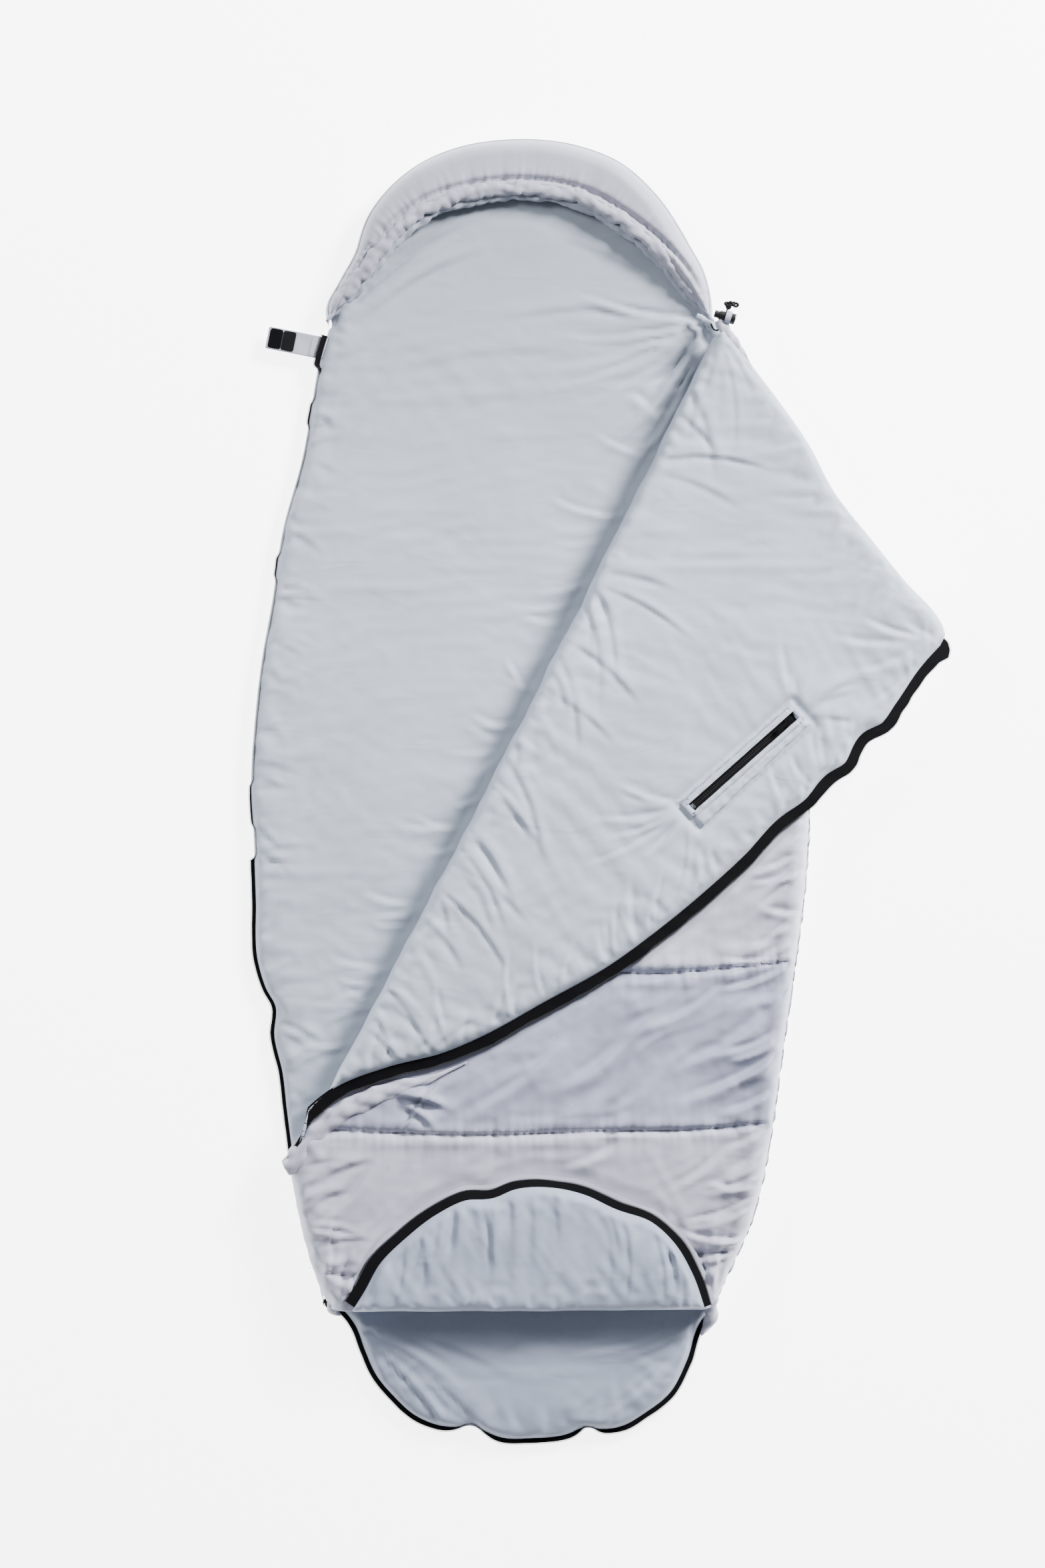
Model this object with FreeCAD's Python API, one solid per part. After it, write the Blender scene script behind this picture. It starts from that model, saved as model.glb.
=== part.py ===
"""Adult mummy sleeping bag, lying on its back and opened: the front quilt is folded back along a
diagonal, the foot is unzipped and folded up, and the hood lies flat with its padded rim.

Frame: millimetres, +Z up, +Y towards the head, origin on the underside in the middle of the bag.
Each quilt is a shell, a batting slab and a lining, stacked face to face."""

import FreeCAD
import Part
import math
import os

from FreeCAD import Matrix, Placement, Vector

os.makedirs("parts", exist_ok=True)

# ---- driving dimensions -------------------------------------------------------------------
# Plan of the bag: half widths of the body at stations along its length.
SIDE_STATIONS = [(700, 340), (600, 361), (430, 396), (212, 433), (0, 453), (-175, 447), (-400, 417)]
NECK_Y = 752
HOOD_LEFT_X, HOOD_RIGHT_X, HOOD_TOP_Y = -322, 302, 1054
HOOD_CENTRE_X = (HOOD_LEFT_X + HOOD_RIGHT_X) / 2
CLOSED_ZIP_TOP = (-381, -599)
FOOT_FOLD_Y = -838
FOOT_HALF_WIDTH = 320
FOOT_CURVE = [(270, -912), (212, -988), (125, -1036)]
FOOT_END_Y = -1053

# The front quilt: hem at the neck, and the diagonal along which its flap is folded back.
FRONT_HEM_Y = 738
FOLD_TOP = (304, FRONT_HEM_Y)
FOLD_END = CLOSED_ZIP_TOP

# Stack of layers, from the floor up.
LOFT = 24
FABRIC = 1
TUNNEL = 18
FOLD_CLEARANCE = 0.3
EDGE_CLEARANCE = 0.4
BACK_TOP_Z = LOFT
FRONT_Z = BACK_TOP_Z + TUNNEL
FRONT_TOP_Z = FRONT_Z + LOFT
FOLD_Z = FRONT_TOP_Z + FOLD_CLEARANCE
FLAP_Z = FOLD_Z + FOLD_CLEARANCE
FLAP_TOP_Z = FLAP_Z + LOFT
WALL = 3

# Shell seams across the front quilt.
SHELL_SEAMS_Y = [-280, -545, -765]

# Hood rim, and the drawcord channel in its lip.
LIP_CENTRE_Y, LIP_RADIUS = 658, 315
CHANNEL_WIDTH, CHANNEL_HEIGHT, CHANNEL_BORE = 16, 10, 4.8
CHANNEL_END_Y = 757
CORD_DIAMETER = 3
CORD_Z = (FRONT_Z + FRONT_TOP_Z) / 2
EXIT_HALF_WIDTH, EXIT_MARGIN = 20, 8

# Zips: tape, coil and slider.
TAPE = 0.8
TAPE_STAND = 0.6
FLAP_TAPE_WIDTH = 17
COIL = 2
COIL_GAP = 1.6
COIL_WIDTH = 2
ZIP_Z = BACK_TOP_Z + TUNNEL / 2
TAPE_HEIGHT = 17.5
TAPE_SPLIT = 3
SLIDER_LENGTH, SLIDER_HALF_WIDTH = 13, 4.6
SLIDER_GAP, SLIDER_PLATE, SLIDER_NECK, SLIDER_FLANGE = 0.4, 1.1, 3.5, 1
SLIDER_END_MARGIN = 3
PIVOT_X, PIVOT_Z, PIVOT_PLAY = 6.5, 5.0, 0.3
CROWN_HALF, CROWN_WIDTH, CROWN_BAR = 3.4, 2.4, 1.2
PULL_LENGTH, PULL_WIDTH, PULL_HALF = 30, 6.4, 0.5
PULL_ARM, PULL_WINDOW, PULL_EYE = 1.6, 4.6, 1.5

# Arm slit in the flap, measured with the flap folded back.
SLIT_START = (428, 120)
SLIT_END = (266, -24)
SLIT_WINDOW = 13
FACING_WIDTH, FACING_END = 54, 12
FACING_THICKNESS = 0.7
WELT_WIDTH, WELT_HEIGHT, WELT_END = 8, 1.2, 4
SLIT_TAPE_MARGIN = 6
SLIT_COIL_START, SLIT_COIL_END = 2, 4
STOP_FROM_END, STOP_SPACING, STOP_WIDTH, STOP_HALF_LENGTH, STOP_HEIGHT = 3.4, 1.7, 1.2, 4.4, 1.4

# Hook and loop tab over the top of the zip.
TAB_ROOT = (-352, 725)
TAB_DIRECTION = (-0.98, 0.199)
TAB_LENGTH, TAB_WIDTH, TAB_THICKNESS = 72, 36, 1.6
TAB_Z = 18
TAB_ROOT_LENGTH, TAB_HINGE_GAP = 40, 0.5
STRIP_THICKNESS, STRIP_LENGTH, STRIP_MARGIN = 1.8, 22, 1
LOOP_STRIP_IN, HOOK_STRIP_IN = 47, 24
PATCH, PATCH_LENGTH = 1, 48

# Cord lock at the right end of the neck.
LOCK_CENTRE = (319, 762, 80)
LOCK_DIRECTION = (0.957, -0.29)
LOCK_MOUTH, LOCK_BACK = -10, 17
LOCK_MOUTH_RADIUS, LOCK_BACK_RADIUS = 7.4, 9
BUTTON_RADIUS, BUTTON_OUT, BUTTON_IN = 5.8, 8, 18
BUTTON_TRAVEL = 4
LOCK_CLEARANCE = 0.3
LOCK_HOLE = 4.4
LOCK_END_WALL = 3
SPRING_WIRE, SPRING_RADIUS, SPRING_TURNS, SPRING_POINTS = 0.45, 4.2, 2.5, 12
LOOP_WIDTH, LOOP_THICKNESS, STRAP_REACH = 12, 1.2, 17
LOOP_MIDDLE, LOOP_GAP, LOOP_SLOT = 5, 0.5, 4
LOCK_FILLET = 1.8

# Route of the drawcord from the end of its channel, through the lock, to its knotted end.
CORD_ROUTE = [
    (298.0, 755.2, 54.0),
    (300.4, 747.0, 55.5),
    (304.0, 742.6, 63.0),
    (309.0, 741.8, 72.0),
    (314.2, 746.2, 79.2),
    (320.6, 767.2, 80.6),
    (324.5, 781.0, 79.0),
    (334.5, 786.5, 76.0),
]
KNOT_POINT = (324.5, 781.0, 79.0)
KNOT_RADIUS = 6

BIG = 4000


# ---- helpers ------------------------------------------------------------------------------
def point(xy, z=0):
    return Vector(xy[0], xy[1], z)


def save(name, *shapes):
    """Writes one sub-part, as one solid or as a group of separate solids."""
    solids = [s for shape in shapes for s in shape.Solids]
    shape = solids[0] if len(solids) == 1 else Part.makeCompound(solids)
    if not shape.isValid():
        raise ValueError(name + " is not valid")
    shape.exportStep("parts/" + name + ".step")
    return shape


def spread(points, distance):
    """Points of an open line moved to its right-hand side by a distance."""
    moved = []
    for i, p in enumerate(points):
        before = points[max(i - 1, 0)]
        after = points[min(i + 1, len(points) - 1)]
        along = (after - before).normalize()
        moved.append(p + Vector(along.y, -along.x, 0) * distance)
    return moved


def spline(points):
    curve = Part.BSplineCurve()
    curve.interpolate(points)
    return curve.toShape()


def bag_face(offset=0):
    """The plan of the whole bag, grown outwards by an offset."""
    left = [Vector(HOOD_LEFT_X, NECK_Y, 0)] + [Vector(-w, y, 0) for y, w in SIDE_STATIONS]
    left += [point(CLOSED_ZIP_TOP)]
    foot = [Vector(-FOOT_HALF_WIDTH, FOOT_FOLD_Y, 0)] + [Vector(-x, y, 0) for x, y in FOOT_CURVE]
    foot += [Vector(0, FOOT_END_Y, 0)] + [Vector(x, y, 0) for x, y in reversed(FOOT_CURVE)]
    foot += [Vector(FOOT_HALF_WIDTH, FOOT_FOLD_Y, 0)]
    right = [Vector(-CLOSED_ZIP_TOP[0], CLOSED_ZIP_TOP[1], 0)]
    right += [Vector(w, y, 0) for y, w in reversed(SIDE_STATIONS)]
    right += [Vector(HOOD_RIGHT_X, NECK_Y, 0)]
    line = spread(left + foot + right, offset)
    line[0] = Vector(HOOD_LEFT_X - offset, NECK_Y, 0)
    line[-1] = Vector(HOOD_RIGHT_X + offset, NECK_Y, 0)
    a, b = len(left), len(left) + len(foot)
    top = Vector(HOOD_CENTRE_X, HOOD_TOP_Y + offset, 0)
    edges = [
        spline(line[:a]),
        Part.LineSegment(line[a - 1], line[a]).toShape(),
        spline(line[a:b]),
        Part.LineSegment(line[b - 1], line[b]).toShape(),
        spline(line[b:]),
        Part.Arc(line[-1], top, line[0]).toShape(),
    ]
    return Part.Face(Part.Wire(edges))


def band_y(low, high):
    """A wide flat strip between two values of Y."""
    return Part.makePlane(2 * BIG, high - low, Vector(-BIG, low, 0))


def beside_line(start, end, distance):
    """The half plane on the left-hand side of a line, from a distance beyond it."""
    along = (point(end) - point(start)).normalize()
    across = Vector(-along.y, along.x, 0)
    corner = point(start) + across * distance
    a, b = corner - along * BIG, corner + along * BIG
    ring = [a, b, b + across * BIG, a + across * BIG, a]
    return Part.Face(Part.makePolygon(ring))


def disc(x, y, radius):
    return Part.Face(Part.Wire(Part.makeCircle(radius, Vector(x, y, 0))))


def slab(face, low, high):
    """A flat face as a solid between two heights."""
    solids = []
    for f in face.Faces:
        base = f.copy()
        base.translate(Vector(0, 0, low))
        solids.append(base.extrude(Vector(0, 0, high - low)))
    return Part.makeCompound(solids)


def block(x0, x1, y0, y1, z0, z1):
    return Part.makeBox(x1 - x0, y1 - y0, z1 - z0, Vector(x0, y0, z0))


def placed(shape, origin, along, across, up):
    """A shape moved from its own axes to an origin and three directions."""
    m = Matrix(
        along.x, across.x, up.x, origin.x,
        along.y, across.y, up.y, origin.y,
        along.z, across.z, up.z, origin.z,
        0, 0, 0, 1,
    )
    moved = shape.copy()
    moved.Placement = Placement(m).multiply(moved.Placement)
    return moved


def fold_flap(shape):
    """Turns a piece of the flap from closed to folded back."""
    turned = shape.copy()
    axis = point(FOLD_END) - point(FOLD_TOP)
    turned.rotate(point(FOLD_TOP, FOLD_Z), axis, 180)
    return turned


def fold_foot(shape):
    """Turns a piece of the foot flap from closed to folded up."""
    turned = shape.copy()
    turned.rotate(Vector(0, FOOT_FOLD_Y, FOLD_Z), Vector(1, 0, 0), 180)
    return turned


def tube_along(route, radius):
    """A round cord of straight runs joined by tangent arcs, and the radii of its arcs."""
    points = [Vector(*p) for p in route]
    edges, radii, last = [], [], points[0]
    for a, b, c in zip(points, points[1:], points[2:]):
        back, on = (a - b), (c - b)
        reach = 0.45 * min(back.Length, on.Length)
        back.normalize()
        on.normalize()
        turn = math.pi - back.getAngle(on)
        radii.append(reach / math.tan(turn / 2))
        start, end = b + back * reach, b + on * reach
        middle = (back + on).normalize()
        centre_far = radii[-1] / math.cos(turn / 2)
        half_way = b + middle * (centre_far - radii[-1])
        edges.append(Part.LineSegment(last, start).toShape())
        edges.append(Part.Arc(start, half_way, end).toShape())
        last = end
    edges.append(Part.LineSegment(last, points[-1]).toShape())
    wire = Part.Wire(edges)
    first = points[1] - points[0]
    ring = Part.Wire(Part.makeCircle(radius, points[0], first))
    return wire.makePipeShell([ring], True, False), wire.Length, radii


# ---- plan regions -------------------------------------------------------------------------
bag = bag_face()
side_band = bag.cut(bag_face(-WALL))
right_half = Part.makePlane(BIG, 2 * BIG, Vector(0, -BIG, 0))

back_plan = bag.common(band_y(-BIG, NECK_Y - EDGE_CLEARANCE / 2))
hood_plan = bag.common(band_y(NECK_Y + EDGE_CLEARANCE / 2, BIG))
front_plan = bag.common(band_y(FOOT_FOLD_Y + EDGE_CLEARANCE, FRONT_HEM_Y))
foot_plan = bag.common(band_y(-BIG, FOOT_FOLD_Y - EDGE_CLEARANCE))

wall_plan = side_band.common(right_half).common(band_y(FOOT_FOLD_Y + EDGE_CLEARANCE, FRONT_HEM_Y))
hood_wall_plan = side_band.common(band_y(NECK_Y + EDGE_CLEARANCE / 2, BIG))

lower_front_plan = front_plan.common(beside_line(FOLD_TOP, FOLD_END, EDGE_CLEARANCE)).cut(wall_plan)
flap_plan = front_plan.common(beside_line(FOLD_END, FOLD_TOP, EDGE_CLEARANCE))
flap_hem_plan = flap_plan.common(band_y(FRONT_HEM_Y - 2 * WALL, BIG))
flap_field_plan = flap_plan.cut(flap_hem_plan)


def quilt(plan, low, shell_below, names):
    """Saves a shell, a batting slab and a lining that fill one quilt from low up."""
    shell_name, batting_name, lining_name = names
    skin_low = slab(plan, low, low + FABRIC)
    skin_high = slab(plan, low + LOFT - FABRIC, low + LOFT)
    save(shell_name, skin_low if shell_below else skin_high)
    save(batting_name, slab(plan, low + FABRIC, low + LOFT - FABRIC))
    save(lining_name, skin_high if shell_below else skin_low)


# ---- back of the bag ----------------------------------------------------------------------
def make_back():
    plan = back_plan.cut(wall_plan)
    quilt(plan, 0, True, ("back_shell", "back_batting", "back_lining"))
    save("right_side_wall", slab(wall_plan, 0, FRONT_TOP_Z))


# ---- fixed part of the front quilt --------------------------------------------------------
def make_lower_front():
    seams = [BIG] + SHELL_SEAMS_Y + [-BIG]
    names = ["shoulder", "middle", "lower", "foot"]
    for high, low, name in zip(seams, seams[1:], names):
        panel = lower_front_plan.common(band_y(low, high))
        save("front_shell_" + name, slab(panel, FRONT_TOP_Z - FABRIC, FRONT_TOP_Z))
    save("front_batting", slab(lower_front_plan, FRONT_Z + FABRIC, FRONT_TOP_Z - FABRIC))
    save("front_lining", slab(lower_front_plan, FRONT_Z, FRONT_Z + FABRIC))


# ---- zip halves on the fixed quilts -------------------------------------------------------
def make_fixed_zip():
    """Tapes that stand on edge along the quilts, with the coil on their outer face."""
    inner, outer = TAPE_STAND, TAPE_STAND + TAPE
    tape_plan = bag_face(outer).cut(bag_face(inner))
    coil_plan = bag_face(outer + COIL).cut(bag_face(outer))
    left_and_foot = Part.makePlane(BIG, BIG + FRONT_HEM_Y, Vector(-BIG, -BIG, 0)).fuse(
        Part.makePlane(BIG, BIG + FOOT_FOLD_Y, Vector(0, -BIG, 0))
    )
    closed = Part.makePlane(BIG, CLOSED_ZIP_TOP[1] - FOOT_FOLD_Y, Vector(-BIG, FOOT_FOLD_Y, 0))
    low_edge, high_edge = ZIP_Z - TAPE_SPLIT / 2, ZIP_Z + TAPE_SPLIT / 2
    coil_low, coil_high = ZIP_Z - COIL_GAP / 2, ZIP_Z + COIL_GAP / 2
    save("back_zip_tape", slab(tape_plan.common(left_and_foot), low_edge - TAPE_HEIGHT, low_edge))
    save("back_zip_coil", slab(coil_plan.common(left_and_foot), coil_low - COIL_WIDTH, coil_low))
    save("front_zip_tape", slab(tape_plan.common(closed), high_edge, high_edge + TAPE_HEIGHT))
    save("front_zip_coil", slab(coil_plan.common(closed), coil_high, coil_high + COIL_WIDTH))


def zip_edge(plan_clip, level):
    """A flat tape that stands out from an open quilt edge, and the coil along its rim."""
    tape = bag_face(FLAP_TAPE_WIDTH).cut(bag).common(plan_clip)
    coil = bag_face(FLAP_TAPE_WIDTH).cut(bag_face(FLAP_TAPE_WIDTH - COIL)).common(plan_clip)
    return slab(tape, level, level + TAPE), slab(coil, level - COIL, level)


# ---- flap ---------------------------------------------------------------------------------
def slit_axes():
    start, end = point(SLIT_START), point(SLIT_END)
    along = (end - start).normalize()
    return start, along, Vector(-along.y, along.x, 0), (end - start).Length


def on_slit(shape, height):
    start, along, across, _ = slit_axes()
    return placed(shape, start + Vector(0, 0, height), along, across, Vector(0, 0, 1))


def make_flap():
    closed_low = 2 * FOLD_Z - FLAP_TOP_Z
    closed_high = closed_low + LOFT
    length = slit_axes()[3]
    half = SLIT_WINDOW / 2
    window = on_slit(block(0, length, -half, half, -2 * LOFT, LOFT), FLAP_TOP_Z)
    layers = {
        "flap_lining": (closed_low, closed_low + FABRIC),
        "flap_batting": (closed_low + FABRIC, closed_high - FABRIC),
        "flap_shell": (closed_high - FABRIC, closed_high),
    }
    for name, (low, high) in layers.items():
        save(name, fold_flap(slab(flap_field_plan, low, high)).cut(window))
    save("flap_neck_binding", fold_flap(slab(flap_hem_plan, closed_low, closed_high)))
    clip = band_y(CLOSED_ZIP_TOP[1], FRONT_HEM_Y).common(
        Part.makePlane(BIG, 2 * BIG, Vector(-BIG, -BIG, 0))
    )
    level = closed_low + LOFT / 2
    tape, coil = zip_edge(clip, level)
    save("flap_zip_tape", fold_flap(tape))
    save("flap_zip_coil", fold_flap(coil))
    along = Vector(-TAB_DIRECTION[0], -TAB_DIRECTION[1], 0)
    across = Vector(-along.y, along.x, 0)
    half_patch = TAB_WIDTH / 2
    patch = block(TAB_LENGTH - PATCH_LENGTH, TAB_LENGTH, -half_patch, half_patch, 0, PATCH)
    patch = placed(patch, point(TAB_ROOT, closed_high), along, across, Vector(0, 0, 1))
    save("flap_tab_patch", fold_flap(patch.common(slab(flap_field_plan, 0, BIG))))


def make_arm_slit():
    """Facing, welts and zip of the slit, on top of the lining of the folded flap."""
    length = slit_axes()[3]
    half = SLIT_WINDOW / 2
    level = FLAP_TOP_Z
    low, high = -FACING_END, length + FACING_END
    tape_low, tape_high = -SLIT_TAPE_MARGIN, length + SLIT_TAPE_MARGIN
    tape_out = half + SLIT_TAPE_MARGIN
    side = FACING_WIDTH / 2
    window = block(0, length, -half, half, -BIG, BIG)
    facing = block(low, high, -side, side, TAPE, TAPE + FACING_THICKNESS).cut(window)
    under = block(low, high, -side, side, 0, TAPE)
    under = under.cut(block(tape_low, tape_high, -tape_out, tape_out, -BIG, BIG))
    save("slit_facing", on_slit(facing.fuse(under).removeSplitter(), level))
    tapes, coils, welts = [], [], []
    welt_low = TAPE + FACING_THICKNESS
    for side in (1, -1):
        a, b = sorted((side * TAPE_SPLIT / 2, side * tape_out))
        tapes.append(block(tape_low, tape_high, a, b, 0, TAPE))
        a, b = sorted((side * COIL_GAP / 2, side * (COIL_GAP / 2 + COIL_WIDTH)))
        coils.append(block(SLIT_COIL_START, length - SLIT_COIL_END, a, b, TAPE, TAPE + COIL))
        a, b = sorted((side * half, side * (half + WELT_WIDTH)))
        welts.append(block(-WELT_END, length + WELT_END, a, b, welt_low, welt_low + WELT_HEIGHT))
    save("slit_zip_tapes", on_slit(Part.makeCompound(tapes), level))
    save("slit_zip_coils", on_slit(Part.makeCompound(coils), level))
    save("slit_welts", on_slit(Part.makeCompound(welts), level))
    stops = []
    for i in range(2):
        x = length - STOP_FROM_END + i * STOP_SPACING
        y = STOP_HALF_LENGTH
        stops.append(block(x, x + STOP_WIDTH, -y, y, TAPE, TAPE + STOP_HEIGHT))
    save("slit_end_stops", on_slit(Part.makeCompound(stops), level))


# ---- foot flap ----------------------------------------------------------------------------
def make_foot_flap():
    closed_low = 2 * FOLD_Z - FLAP_TOP_Z
    closed_high = closed_low + LOFT
    layers = {
        "foot_flap_lining": (closed_low, closed_low + FABRIC),
        "foot_flap_batting": (closed_low + FABRIC, closed_high - FABRIC),
        "foot_flap_shell": (closed_high - FABRIC, closed_high),
    }
    for name, (low, high) in layers.items():
        save(name, fold_foot(slab(foot_plan, low, high)))
    clip = band_y(-BIG, FOOT_FOLD_Y - 2 * EDGE_CLEARANCE)
    tape, coil = zip_edge(clip, closed_low + LOFT / 2)
    save("foot_flap_zip_tape", fold_foot(tape))
    save("foot_flap_zip_coil", fold_foot(coil))


# ---- hood ---------------------------------------------------------------------------------
def lip_angle(y):
    return math.asin((y - LIP_CENTRE_Y) / (LIP_RADIUS + CHANNEL_WIDTH / 2))


def around_lip(profile):
    """Turns a profile, drawn in the XZ plane at the lip's centre, along the whole lip."""
    start = math.degrees(lip_angle(CHANNEL_END_Y))
    centre = Vector(HOOD_CENTRE_X, LIP_CENTRE_Y, 0)
    profile.translate(centre)
    profile.rotate(centre, Vector(0, 0, 1), start)
    return profile.revolve(centre, Vector(0, 0, 1), 180 - 2 * start)


def make_hood():
    bore_x = LIP_RADIUS + CHANNEL_WIDTH / 2
    low, high = CORD_Z - CHANNEL_HEIGHT / 2, CORD_Z + CHANNEL_HEIGHT / 2
    corners = [
        Vector(LIP_RADIUS, 0, low),
        Vector(LIP_RADIUS + CHANNEL_WIDTH, 0, low),
        Vector(LIP_RADIUS + CHANNEL_WIDTH, 0, high),
        Vector(LIP_RADIUS, 0, high),
    ]
    outline = Part.Face(Part.makePolygon(corners + corners[:1]))
    centre, y_axis = Vector(bore_x, 0, CORD_Z), Vector(0, 1, 0)
    bore = Part.Face(Part.Wire(Part.makeCircle(CHANNEL_BORE / 2, centre, y_axis)))
    cord = Part.Face(Part.Wire(Part.makeCircle(CORD_DIAMETER / 2, centre, y_axis)))
    save("drawcord_channel", around_lip(outline.cut(bore).Faces[0]))
    save("hood_drawcord", around_lip(cord))

    field = hood_plan.cut(hood_wall_plan)
    names = ("hood_back_shell", "hood_back_batting", "hood_back_lining")
    quilt(field, 0, True, names)
    wall = slab(hood_wall_plan, 0, FRONT_TOP_Z).cut(around_lip(outline.copy()))
    exit_x = (HOOD_RIGHT_X - EXIT_HALF_WIDTH, HOOD_RIGHT_X + EXIT_HALF_WIDTH)
    cord_exit = block(*exit_x, 0, CHANNEL_END_Y + EXIT_MARGIN, low, FRONT_TOP_Z + LOFT)
    save("hood_side_wall", wall.cut(cord_exit))
    rim = field.cut(disc(HOOD_CENTRE_X, LIP_CENTRE_Y, LIP_RADIUS + CHANNEL_WIDTH))
    names = ("hood_rim_shell", "hood_rim_batting", "hood_rim_lining")
    quilt(rim, FRONT_Z, False, names)


# ---- cord lock and the knotted end of the drawcord ----------------------------------------
def lock_axes():
    along = Vector(LOCK_DIRECTION[0], LOCK_DIRECTION[1], 0).normalize()
    return Vector(*LOCK_CENTRE), along, Vector(-along.y, along.x, 0), Vector(0, 0, 1)


def on_lock(shape):
    origin, along, across, up = lock_axes()
    return placed(shape, origin, along, across, up)


def rod(x0, x1, radius):
    return Part.makeCylinder(radius, x1 - x0, Vector(x0, 0, 0), Vector(1, 0, 0))


def make_cord_lock():
    bore = BUTTON_RADIUS + LOCK_CLEARANCE
    barrel_length = LOCK_BACK - LOCK_MOUTH
    mouth, x_axis = Vector(LOCK_MOUTH, 0, 0), Vector(1, 0, 0)
    barrel = Part.makeCone(LOCK_MOUTH_RADIUS, LOCK_BACK_RADIUS, barrel_length, mouth, x_axis)
    rim = [e for e in barrel.Edges if e.BoundBox.XMin > LOCK_BACK - FABRIC / 10]
    barrel = barrel.makeFillet(LOCK_FILLET, rim)
    hole = Part.makeCylinder(LOCK_HOLE / 2, 40, Vector(0, -20, 0), Vector(0, 1, 0))
    barrel = barrel.cut(rod(LOCK_MOUTH - 1, LOCK_BACK - LOCK_END_WALL, bore)).cut(hole)
    save("cord_lock_barrel", on_lock(barrel))

    out_end = LOCK_MOUTH - BUTTON_OUT
    button = rod(out_end, out_end + BUTTON_OUT + BUTTON_IN - BUTTON_TRAVEL, BUTTON_RADIUS)
    half = LOCK_HOLE / 2
    slot = block(-BUTTON_TRAVEL, 0, -20, 20, -half, half).fuse(hole)
    slot = slot.fuse(hole.translated(Vector(-BUTTON_TRAVEL, 0, 0)))
    save("cord_lock_button", on_lock(button.cut(slot)))

    first = out_end + BUTTON_OUT + BUTTON_IN + LOCK_CLEARANCE + SPRING_WIRE
    last = LOCK_BACK - LOCK_END_WALL - LOCK_CLEARANCE - SPRING_WIRE
    steps = int(SPRING_TURNS * SPRING_POINTS)
    route = []
    for i in range(steps + 1):
        turn = 2 * math.pi * i / SPRING_POINTS
        x = first + (last - first) * i / steps
        route.append((x, SPRING_RADIUS * math.cos(turn), SPRING_RADIUS * math.sin(turn)))
    save("cord_lock_spring", on_lock(tube_along(route, SPRING_WIRE)[0]))

    gap = LOCK_BACK_RADIUS + LOOP_GAP
    low_x, high_x = LOOP_MIDDLE - LOOP_WIDTH / 2, LOOP_MIDDLE + LOOP_WIDTH / 2
    floor_z = FRONT_TOP_Z - LOCK_CENTRE[2]
    strap_top = floor_z + LOOP_THICKNESS
    strap = block(low_x, high_x, -gap - STRAP_REACH, -gap + LOOP_THICKNESS, floor_z, strap_top)
    riser = block(low_x, high_x, -gap - LOOP_THICKNESS, -gap, floor_z, 0)
    loop = rod(low_x, high_x, gap + LOOP_THICKNESS).fuse(riser).fuse(strap)
    slot = block(-LOOP_SLOT, LOOP_SLOT, -BIG, BIG, -LOOP_SLOT, LOOP_SLOT)
    save("cord_lock_loop", on_lock(loop.cut(rod(low_x, high_x, gap)).cut(slot)))

    tail, length, radii = tube_along(CORD_ROUTE, CORD_DIAMETER / 2)
    print("drawcord tail: length", round(length, 1), "arc radii", [round(r, 1) for r in radii])
    volume = math.pi * CORD_DIAMETER ** 2 / 4 * length
    print("drawcord tail: volume over section times length", round(tail.Volume / volume, 3))
    save("drawcord_tail", tail)
    save("drawcord_knot", Part.makeSphere(KNOT_RADIUS, Vector(*KNOT_POINT)).cut(tail))


# ---- zip sliders --------------------------------------------------------------------------
def slider_body():
    """A slider in its own axes: X along the zip, Z out of the tape, the tape's middle at zero."""
    wide, long = SLIDER_HALF_WIDTH, SLIDER_LENGTH
    tape_top = TAPE / 2
    low, high = -tape_top - SLIDER_GAP, tape_top + COIL + SLIDER_GAP
    plate_top = high + SLIDER_PLATE
    under = block(0, long, -wide, wide, low - SLIDER_PLATE, low)
    over = block(0, long, -wide, wide, high, plate_top)
    neck = block(0, SLIDER_NECK, -SLIDER_FLANGE / 2, SLIDER_FLANGE / 2, low, high)
    body = under.fuse([over, neck])
    for y in (-wide, wide - SLIDER_FLANGE):
        body = body.fuse(block(0, long, y, y + SLIDER_FLANGE, tape_top + SLIDER_GAP, high))
    crown_top = PIVOT_Z + PULL_HALF + PIVOT_PLAY + CROWN_BAR
    half = CROWN_WIDTH / 2
    low_x, high_x = PIVOT_X - CROWN_HALF, PIVOT_X + CROWN_HALF
    crown = block(low_x, high_x, -half, half, plate_top, crown_top)
    arch_low, arch_high = PIVOT_Z - PULL_HALF - PIVOT_PLAY, PIVOT_Z + PULL_HALF + PIVOT_PLAY
    arch_x = (low_x + CROWN_BAR, high_x - CROWN_BAR)
    crown = crown.cut(block(*arch_x, -wide, wide, arch_low, arch_high))
    return body.fuse(crown).removeSplitter()


def slider_pull():
    """The pull in the same axes: a cross bar through the crown, two arms and a rounded tab."""
    half = PULL_WIDTH / 2
    end = PIVOT_X + PULL_LENGTH
    low, high = PIVOT_Z - PULL_HALF, PIVOT_Z + PULL_HALF
    tab = block(PIVOT_X - PULL_HALF, end - half, -half, half, low, high)
    tab = tab.fuse(Part.makeCylinder(half, high - low, Vector(end - half, 0, low)))
    arms = half - PULL_ARM
    window = block(PIVOT_X + PULL_HALF, PIVOT_X + PULL_WINDOW, -arms, arms, low - 1, high + 1)
    eye = Part.makeCylinder(PULL_EYE, BIG, Vector(end - half, 0, low - 1))
    return tab.cut(window).cut(eye).removeSplitter()


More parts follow.
